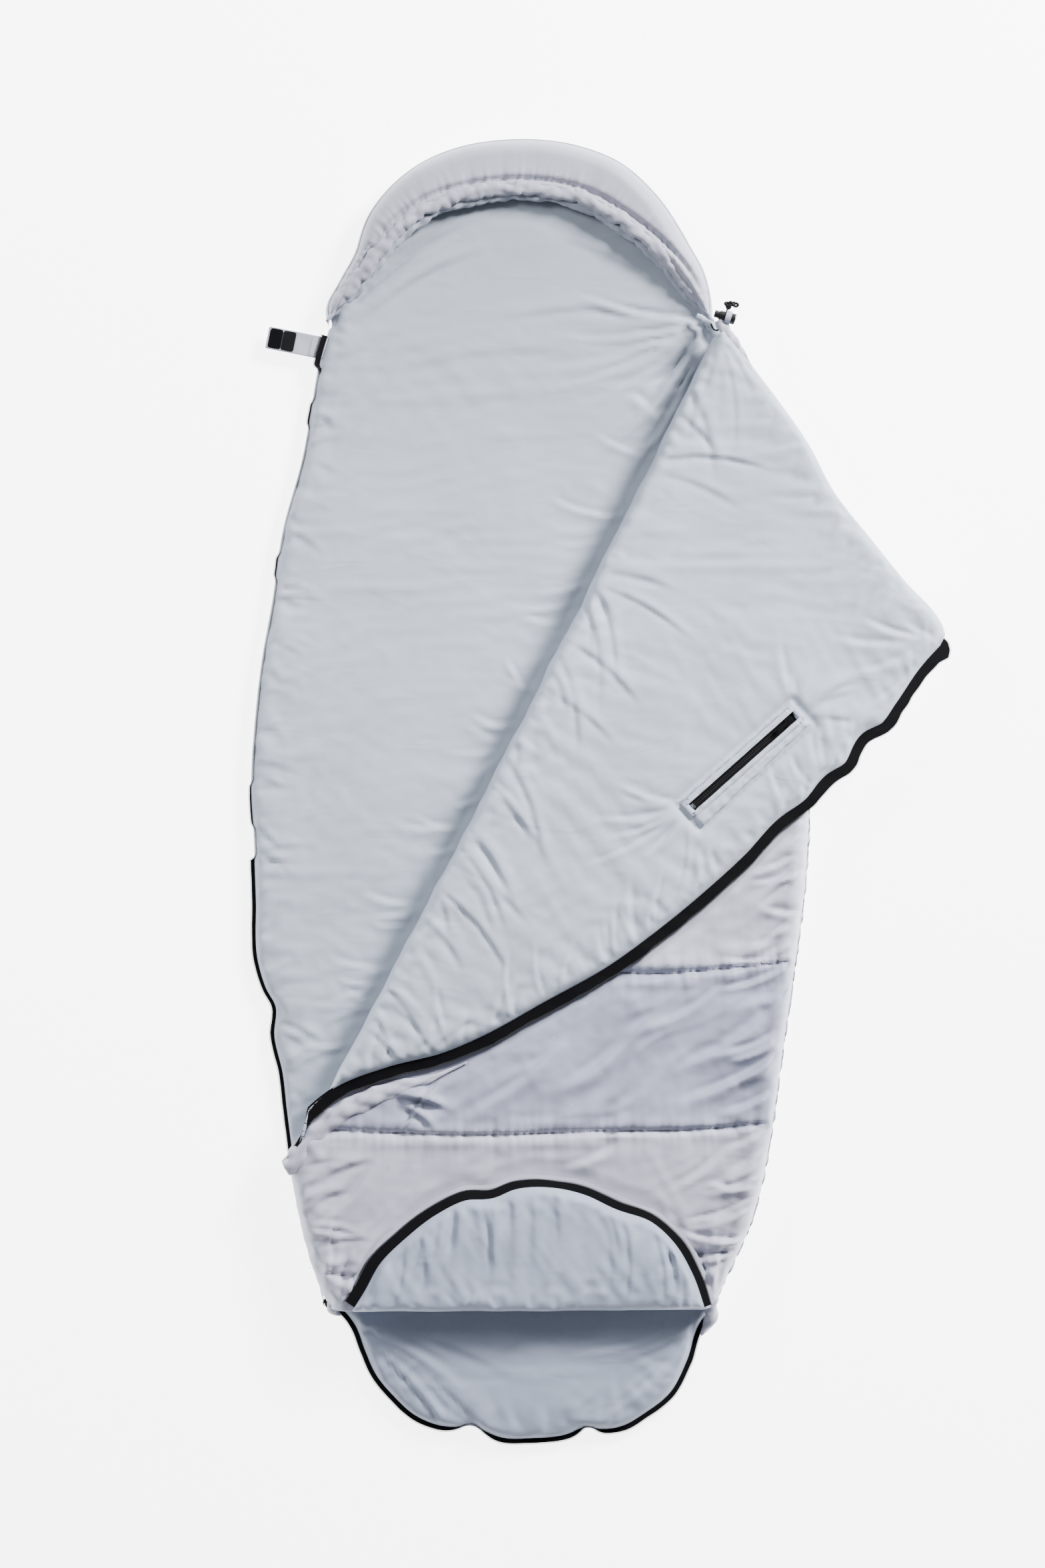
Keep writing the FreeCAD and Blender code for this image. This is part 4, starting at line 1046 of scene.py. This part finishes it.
# ---- zips ---------------------------------------------------------------------------------
def teeth(name, line, body, pitch=2.2, size=(3.0, 1.5, 1.9), nodes=()):
    """The coil of a zip: one tooth across it for each turn, set along a 3-D line."""
    spaced = respaced(line, pitch)
    ups = np.tile((0, 0, 1.0), (len(spaced), 1))
    across = np.cross(np.gradient(spaced, axis=0), ups)
    made = boxes(name, spaced, across, ups, size, COIL)
    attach(made, body)
    return finish(made, "zip_coil", *nodes)


def zip_strip(name, inner, outer, body, nodes, coil_nodes):
    """A zip tape between two lines of 3-D points, its coil on the outer one, and a row of stitching."""
    tape = ribbon(name + "_web", outer, inner, 0.9, TAPE)
    soft(tape, body, "zip_tape", *nodes, fill=0.1)
    g = outer - inner
    g /= np.maximum(np.linalg.norm(g, axis=1), 1e-9)[:, None]
    teeth(name + "_teeth", outer + g, body, nodes=coil_nodes)
    row = inner + g * 2.4 + np.array((0, 0, 0.4))
    stitches(name + "_stitches", row, body, 4.0, 0.15, TAPE)


def make_flap_zip(keep):
    """The tape along the open edge of the flap, from its rounded corner to the low end of the fold."""
    edge = outside(keep, -3.0, (0, 300))
    inner = respaced(np.vstack([(664, 236), edge[2:], (-362, -563), (-376, -582)]), 4)
    rim = np.vstack([(669, 246), (677, 240), (681, 228), (676, 214), zip_outer[6:-1], (-384, -589)])
    t = np.linspace(0, 1, len(inner))
    rim = np.stack([np.interp(t, lengths(rim) / lengths(rim)[-1], rim[:, k]) for k in range(2)], 1)
    t = t * 1400
    uneven = 0.16 * wander(t / 70, 113) + 0.1 * wander(t / 24, 114)
    rim = rim + (rim - inner) * uneven[:, None]
    wave = 2.6 * wander(t / 55, 111) + 1.6 * wander(t / 23, 112)
    low_end = ease((t - 1250) / 140)
    inner = np.c_[inner, 79.8 - 6 * low_end]
    outer = np.c_[rim, 75.6 + wave - 5 * low_end]
    zip_strip("flap_zip", inner, outer, "front_flap", ("flap_zip_tape",), ("flap_zip_coil",))


def make_foot_zip(inner_line):
    """The tape along the arc of the foot flap, and the edge of the shell that shows beyond it."""
    t = lengths(inner_line)
    outwards = outside(inner_line, 1.0, (0, -900)) - inner_line
    wave = 1.8 * wander(t / 48, 121)
    inner = np.c_[inner_line - outwards * 2.5, 77.8 + 0 * t]
    wide = 11.0 + 3.0 * wander(t / 70, 122) + 5.0 * ease(-inner_line[:, 0] / 260)
    outer = np.c_[inner_line + outwards * wide[:, None], 75.0 + wave]
    zip_strip("foot_flap_zip", inner, outer, "foot_flap", ("foot_flap_zip_tape",), ("foot_flap_zip_coil",))
    a = np.c_[inner_line + outwards * 8, 72.5 + 0 * t]
    b = np.c_[inner_line + outwards * (wide + 8 + 4.0 * wander(t / 40, 123))[:, None], 71.5 + wave]
    facing = ribbon("foot_flap_shell_edge", b, a, 2.2, SHELL)
    soft(facing, "foot_flap", "shell_fabric", fill=0.3)


def make_back_zip():
    """The tape round the open edge of the back quilt; it tucks under the quilt in places."""
    whole = np.vstack([left_edge[3:], left_foot[1:-1], foot_edge[1:-2]])
    t = lengths(whole)
    y = whole[:, 1]
    show = np.full(len(whole), 0.0)
    for low, high in ((692, 745), (600, 630), (352, 380), (-52, 8), (-2000, -112)):
        show = np.maximum(show, ease((y - low + 12) / 14) * ease((high - y + 12) / 14))
    x = whole[:, 0]
    tucked = np.exp(-(((x + 90) / 26) ** 2)) + np.exp(-(((x - 103) / 15) ** 2))
    show *= np.where(y < -1000, 1 - np.clip(tucked, 0, 1), 1)
    closed = ease((-596 - y) / 20) * ease((y + 832) / 12)
    show *= 1 - closed
    show *= np.where((y > -112) & (y < 690), 0.62, 1)
    outwards = outside(whole, 1.0, (0, 0)) - whole
    reach = -4.5 + (11.0 + 2.0 * (y < -840)) * show - 1.2 * closed + 0.8 * wander(t / 30, 131)
    over = ease((y - 676) / 16)
    lift = 20 - 8.5 * show + 8 * closed + 10.5 * over
    inner = whole + outwards * (reach - 9 + 7 * closed)[:, None]
    inner = np.c_[inner, 12.5 - 1.5 * show + closed + 12 * over]
    outer = np.c_[whole + outwards * reach[:, None], lift]
    zip_strip("back_zip", inner, outer, "bag", ("back_zip_tape",), ("back_zip_coil",))
    near = (y < -600) & (y > -828) & (x < -200)
    c = whole[near]
    o = outwards[near]
    inner = np.c_[c - o * 3.4, 49 + 0 * c[:, 0]]
    outer = np.c_[c - o * 3.0, 34.5 + 0 * c[:, 0]]
    zip_strip("front_zip", inner, outer, "bag", ("front_zip_tape",), ("front_zip_coil",))


# ---- hand slit ----------------------------------------------------------------------------
SLIT_TOP = 90.6


def on_slit(u, v, z):
    """3-D points at places along and across the hand slit."""
    p = SLIT_START + np.outer(np.atleast_1d(u), SLIT_ALONG) + np.outer(np.atleast_1d(v), SLIT_ACROSS)
    return np.c_[p, np.broadcast_to(z, (len(p),))]


def slit_facing(name, side, u):
    """The cloth facing on one long side of the slit (side 1 or -1), puckered, with a groove at its seam."""
    f = np.linspace(0, 1, 12)
    grid_u, grid_f = np.meshgrid(u, f, indexing="ij")
    width = 19.0 if side < 0 else 25.5 + 9 * grid_u / SLIT_LENGTH
    grid_v = 7.4 + grid_f * (width - 7.4)
    edge = 2.2 * perlin(grid_u / 19, grid_v * 0 + side, 141) * ease((grid_f - 0.5) / 0.5)
    high = 3.0 + 1.9 * perlin(grid_u / 13, grid_v / 10, 142 + side) + 1.6 * dome(width - grid_v, 3)
    high -= 2.6 * np.exp(-(((grid_v - 16.0) / 1.6) ** 2))
    if side == 1:
        high += 1.1 * (grid_u > SLIT_LENGTH * 0.36) * (grid_v < 15.5)
    ends = ease((grid_u + 12) / 6) * ease((SLIT_LENGTH + 12 - grid_u) / 6)
    high = high * ends - 0.4 * (1 - ends)
    v = side * (grid_v + edge)
    p = SLIT_START + grid_u.reshape(-1, 1) * SLIT_ALONG + v.reshape(-1, 1) * SLIT_ACROSS
    upper = np.c_[p, SLIT_TOP + high.ravel()]
    lower = np.c_[p, np.full(len(p), SLIT_TOP - 1.2)]
    faces = []
    nv, nu = len(f), len(u)
    flip = side > 0
    for i in range(nu - 1):
        for j in range(nv - 1):
            q = [i * nv + j, (i + 1) * nv + j, (i + 1) * nv + j + 1, i * nv + j + 1]
            faces.append(q if not flip else q[::-1])
            faces.append([k + nu * nv for k in (q[::-1] if not flip else q)])
    loop = list(range(nv)) + [i * nv + nv - 1 for i in range(1, nu)]
    loop += [(nu - 1) * nv + j for j in range(nv - 2, -1, -1)] + [i * nv for i in range(nu - 2, 0, -1)]
    for a, b in zip(loop, loop[1:] + loop[:1]):
        q = [a, b, b + nu * nv, a + nu * nv]
        faces.append(q[::-1] if flip else q)
    made = add_mesh(name, np.vstack([upper, lower]), faces, LINING)
    made.data.set_sharp_from_angle(angle=math.radians(60))
    soft(made, "front_flap", "lining_fabric", "slit_facing", fill=0.2)


def make_slit():
    """Facings, welts, stitching, tapes and coils on both sides of the hand slit, and its two ends."""
    u = np.linspace(-12, SLIT_LENGTH + 12, 74)
    for side, name in ((1, "right"), (-1, "left")):
        slit_facing("slit_facing_" + name, side, u)
        inner = u[4:-4]
        across = side * (11.6 + 0.8 * wander(inner / 24, 145 + side))
        welt = on_slit(inner, across, SLIT_TOP + 2.4 + 0.5 * wander(inner / 15, 144))
        roll = tube("slit_welt_" + name, welt, 4.4, LINING, 12, 0.62)
        soft(roll, "front_flap", "lining_fabric", "slit_welts", fill=0.4)
        for offset in (9.2, 15.4, 17.4 if side < 0 else 23.6):
            row = on_slit(u[3:-3], side * offset, SLIT_TOP + (4.4 if offset < 10 else 3.4))
            stitches(f"slit_stitches_{name}_{offset:.0f}", row, "front_flap", 4.4, -0.2)
        length = np.linspace(-4, SLIT_LENGTH + 4, 40)
        tape_top = SLIT_TOP - 2.2
        tape_edges = on_slit(length, side * -0.4, tape_top), on_slit(length, side * 10.4, tape_top + 1.4)
        tape = ribbon("slit_zip_tape_" + name, *tape_edges, 0.8, TAPE)
        soft(tape, "front_flap", "zip_tape", "slit_zip_tapes", fill=0.1)
        row = on_slit(np.linspace(2, SLIT_LENGTH - 4, 60), side * 1.7, tape_top + 1.2)
        teeth("slit_zip_coil_" + name, row, "front_flap", 1.9, (2.4, 1.2, 1.7), ("slit_zip_coils",))
    for end, at in (("top", -9.0), ("bottom", SLIT_LENGTH + 9.0)):
        row = on_slit(at, np.linspace(-24, 24, 8), SLIT_TOP + 2.5)
        stitches("slit_end_stitches_" + end, row, "front_flap", 4.4, 0.0)
    for end, at in (("top", -7.5), ("bottom", SLIT_LENGTH + 7.5)):
        row = on_slit(at, np.linspace(-13, 13, 10), SLIT_TOP + 2.3)
        bar = tube("slit_end_welt_" + end, row, 4.6, LINING, 12, 0.4)
        soft(bar, "front_flap", "lining_fabric", fill=0.4)


# ---- closure tab --------------------------------------------------------------------------
TAB_ROOT, TAB_OUT = np.array((-352.0, 725.0)), np.array((-0.98, 0.199))
TAB_OUT = TAB_OUT / np.linalg.norm(TAB_OUT)
TAB_ACROSS = np.array((-TAB_OUT[1], TAB_OUT[0]))


def tab_slab(name, u0, u1, half, low, high, material, corner, wave, seed, step=2.5):
    """A flat soft strip in the tab's own axes, with rounded corners and a slow wave. A strip with a wave of
    more than 0.5 mm also droops towards the tab's end."""
    path = []
    for cu, cv, start in ((u1 - corner, half - corner, 0), (u0 + corner, half - corner, 90),
                          (u0 + corner, corner - half, 180), (u1 - corner, corner - half, 270)):
        for k in range(7):
            a = math.radians(start + 15 * k)
            path.append((cu + corner * math.cos(a), cv + corner * math.sin(a)))
    plan = Plan(np.array(path), step, rings=(0.7,))
    u, v = plan.xy[:, 0], plan.xy[:, 1]
    lift = wave * perlin(u / 26, v / 30, seed)
    lift -= 3.5 * ease((u - 20) / 60) * (wave > 0.5)
    plan.xy = TAB_ROOT + u[:, None] * TAB_OUT + v[:, None] * TAB_ACROSS
    return quilt(name, plan, high + lift, low + lift, material)


def make_flap_patch():
    """The loop patch on the flap's shell that the hook strip meets when the tab is folded over."""
    corners = np.array([(44.0, -16.4), (69.0, -16.4), (69.0, 16.4), (44.0, 16.4)])
    closed = TAB_ROOT - corners[:, :1] * TAB_OUT + corners[:, 1:] * TAB_ACROSS
    plan = Plan(mirrored(closed), 3.0, rings=(0.7,))
    rough = 0.25 * perlin(plan.xy[:, 0] / 4, plan.xy[:, 1] / 4, 155)
    made = quilt("flap_loop_patch", plan, 69.0 + 0 * plan.d, 65.1 + rough, LOOP)
    soft(made, "front_flap", "loop_tape", "flap_tab_patch", fill=0.2)


def make_tab():
    """The tab's cloth, its sewn root, its strips and its stitches."""
    made = tab_slab("tab_cloth", -6, 72, 18.2, 18.0, 20.0, SHELL, 2.5, 1.3, 151, 1.6)
    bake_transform(made)
    finish(made, "shell_fabric", "tab_fabric")
    root = tab_slab("tab_root_cloth", -26, 0.5, 18.2, 18.4, 20.2, SHELL, 2.0, 0.3, 152)
    soft(root, "bag", "shell_fabric", "tab_anchor", fill=0.2)
    hook = tab_slab("tab_hook", 47.2, 68.6, 16.4, 19.2, 21.0, HOOK, 4.0, 1.3, 151, 1.6)
    soft(hook, "zip_tab", "hook_tape", "tab_hook_strip", fill=0.1)
    loop = tab_slab("tab_loop", 25.4, 46.6, 16.4, 19.2, 21.4, LOOP, 4.0, 1.3, 151, 1.6)
    soft(loop, "zip_tab", "loop_tape", "tab_loop_strip", fill=0.2)
    for k, v in enumerate((16.6, -16.6)):
        row = TAB_ROOT + np.array([[25.0], [47.0], [69.0]]) * TAB_OUT + v * TAB_ACROSS
        stitches(f"tab_stitches_{k}", np.c_[row, [20.2, 19.8, 17.4]], "zip_tab", 3.6, 0.1)


# ---- cord lock, sliders and small trim ----------------------------------------------------
def repaint(name, material):
    """Gives a CAD piece a better material."""
    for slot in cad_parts[name].material_slots:
        slot.material = material


def make_trim():
    """Materials of the hard CAD pieces, and the fabric loop that holds the cord lock."""
    for name, material in (("cord_lock_barrel", PLASTIC), ("cord_lock_button", PLASTIC),
                           ("cord_lock_spring", STEEL), ("slit_end_stops", STAPLE)):
        repaint(name, material)
    for zip_name in ("upper", "lower", "slit"):
        repaint(zip_name + "_slider_body", METAL)
        repaint(zip_name + "_slider_pull", METAL)
    along = np.array((0.957, -0.29))
    along /= np.linalg.norm(along)
    across = np.array((-along[1], along[0]))
    centre = np.array((319.0, 762.0)) + along * 5
    angles = np.radians(np.linspace(-78, 258, 44))
    ring_v, ring_z = 10.4 * np.cos(angles), 80 + 10.4 * np.sin(angles)
    path_v = np.r_[[-27.0, -20, -13], ring_v[::-1]]
    path_z = np.r_[[67.4, 67.6, 68.6], ring_z[::-1]]
    middle = np.c_[centre + path_v[:, None] * across, path_z]
    a, b = middle.copy(), middle.copy()
    a[:, :2] += along * 4.6
    b[:, :2] -= along * 4.6
    band = ribbon("cord_lock_band", a, b, 1.1, SHELL_DARK)
    soft(band, "bag", "shell_fabric", "cord_lock_loop", fill=0.1)


def gathered(share, seed, cells):
    """Uneven folds round a gathered roll; share runs from 0 to 1 along it."""
    first, second = (wander(share * cells, seed + k) for k in range(2))

    def ripple(i, a):
        fold = 0.24 * np.abs(np.cos(1.5 * a + 11 * share[i])) - 0.1
        return fold + 0.24 * first[i] + 0.3 * second[i] * math.cos(a)

    return ripple


def make_fold_end():
    """Gathered shell cloth at the low end of the front's fold."""
    low = smooth_line([(-389, -606), (-381, -602), (-354, -566), (-303, -520), (-250, -493), (-214, -479),
                       (-160, -464), (-96, -436)], 3)
    s = np.linspace(0, 1, len(low))
    radius = 13.5 * ease((1 - s) / 0.5) * ease((s + 0.14) / 0.2) + 1.5
    shapes = [wander(s * 16, 160 + k) for k in range(3)]

    def ripple(i, a):
        twist = 0.2 * np.abs(np.cos(1.5 * a + 26 * s[i])) - 0.1 + 0.1 * np.cos(4 * a - 41 * s[i])
        uneven = 0.26 * shapes[1][i] * math.cos(a + 0.5) + 0.2 * shapes[2][i] * math.sin(2 * a)
        return twist + 0.2 * shapes[0][i] + uneven

    height = 70 + 2 * wander(s * 7, 165) - 8 * (1 - s) ** 2
    body = tube("fold_end_roll", np.c_[low, height], radius, SHELL, 22, 0.8, ripple)
    soft(body, "bag", "shell_fabric", fill=0.5)


def make_neck_rolls():
    """Gathered cloth at the neck: the flap's hem, the lining beside it, and the side below it."""
    hem = smooth_line([(309, 757), (314, 748), (321, 736), (334, 719), (349, 700), (360, 684)], 2)
    w = np.linspace(0, 1, len(hem))
    radius = 7.5 * ease((w + 0.25) / 0.4) * ease((1.1 - w) / 0.7) + 1.0
    height = 79 + 2.5 * wander(w * 9, 182)
    roll = tube("flap_neck_roll", np.c_[hem, height], radius, SHELL, 18, 0.8, gathered(w, 180, 9))
    soft(roll, "front_flap", "shell_fabric", fill=0.4)
    for name, seed, thick, low, rise, route in (
        ("neck_gather", 185, 5.0, 42, 5, [(276, 771), (286, 763), (294, 757), (301, 752)]),
        ("neck_side_roll", 190, 8.5, 26, 0, [(286, 766), (298, 759), (307, 748), (314, 736), (322, 720)]),
    ):
        line = smooth_line(route, 2)
        w = np.linspace(0, 1, len(line))
        radius = thick * ease((w + 0.3) / 0.5) * ease((1.3 - w) / 0.6)
        roll = tube(name, np.c_[line, low + rise * w], radius, LINING, 18, 0.9, gathered(w, seed, 6))
        soft(roll, "bag", "lining_fabric", fill=0.4)


def make_foot_gussets():
    """Crumpled shell cloth where the foot flap folds up from the side seams."""
    for name, thick, route in (
        ("foot_gusset_right", 9.5, [(306, -806), (298, -826), (300, -846), (291, -872), (284, -884)]),
        ("foot_gusset_left", 8.0, [(-306, -806), (-313, -826), (-315, -842), (-303, -852)]),
    ):
        line = smooth_line(route, 2.5)
        q = np.linspace(0, 1, len(line))
        radius = thick * ease((q + 0.2) / 0.4) * ease((1.15 - q) / 0.6) + 0.8
        wave = [wander(q * 7, 170 + k) for k in range(3)]

        def crumple(i, a, wave=wave, q=q):
            twist = 0.22 * np.abs(np.cos(1.5 * a + 9 * q[i])) - 0.1 + 0.2 * wave[0][i]
            return twist + 0.3 * wave[1][i] * math.cos(a) + 0.2 * wave[2][i] * math.sin(2 * a)

        made = tube(name, np.c_[line, 50 - 30 * q], radius, SHELL, 18, 1.1, crumple)
        soft(made, "bag", "shell_fabric", fill=0.4)


# ---- building -----------------------------------------------------------------------------
make_back()
front_surface = make_front()
flap_surface, flap_edge = make_flap()
foot_edge_line = make_foot_flap()
make_hood()
make_flap_zip(flap_edge)
make_foot_zip(foot_edge_line)
make_back_zip()
make_slit()
make_tab()
make_flap_patch()
make_trim()
make_fold_end()
make_neck_rolls()
make_foot_gussets()
for k, seam in enumerate(SEAMS):
    row = smooth_line(seam)
    stitches(f"front_seam_stitches_{k}", np.c_[row, front_surface(row)], "bag", 5.2, 0.5)
dart = smooth_line([(-196, -544), (-166, -502), (-138, -461)])
stitches("front_dart_stitches", np.c_[dart, front_surface(dart)], "bag", 5.2, 0.5)
hem_row = outside(hem_line, -6, (0, 0))[3:-6]
stitches("flap_hem_stitches", np.c_[hem_row, flap_surface(hem_row)], "front_flap", 4.5, 0.3)

# ---- floor and light ----------------------------------------------------------------------
floor_mesh = bpy.data.meshes.new("floor")
corners = [(-30, -30, -0.001), (30, -30, -0.001), (30, 30, -0.001), (-30, 30, -0.001)]
floor_mesh.from_pydata(corners, [], [(0, 1, 2, 3)])
floor = bpy.data.objects.new("floor", floor_mesh)
bpy.context.scene.collection.objects.link(floor)
white = bpy.data.materials.new("floor_white")
white.use_nodes = True
surface = white.node_tree.nodes["Principled BSDF"]
surface.inputs["Base Color"].default_value = (0.9, 0.9, 0.9, 1)
surface.inputs["Roughness"].default_value = 0.95
surface.inputs["Emission Color"].default_value = (1, 1, 1, 1)
surface.inputs["Emission Strength"].default_value = 5.0
floor_mesh.materials.append(white)


def area_light(name, place, target, size, power, colour):
    """A rectangular light that points at a target."""
    data = bpy.data.lights.new(name, "AREA")
    data.shape = "RECTANGLE"
    data.size, data.size_y = size
    data.energy = power
    data.color = colour
    made = bpy.data.objects.new(name, data)
    bpy.context.scene.collection.objects.link(made)
    made.location = place
    made.rotation_euler = (Vector(target) - Vector(place)).to_track_quat("-Z", "Y").to_euler()
    return made


area_light("key", (3.2, 3.1, 2.55), (0, 0, 0), (1.3, 1.3), 1060, (1.0, 0.99, 0.98))
area_light("left", (-3.2, 2.2, 2.8), (0, -0.1, 0), (1.4, 1.4), 200, (0.95, 0.97, 1.0))
world = bpy.data.worlds.new("studio")
bpy.context.scene.world = world
world.use_nodes = True
world.node_tree.nodes["Background"].inputs["Color"].default_value = (0.93, 0.96, 1.0, 1)
world.node_tree.nodes["Background"].inputs["Strength"].default_value = 0.33
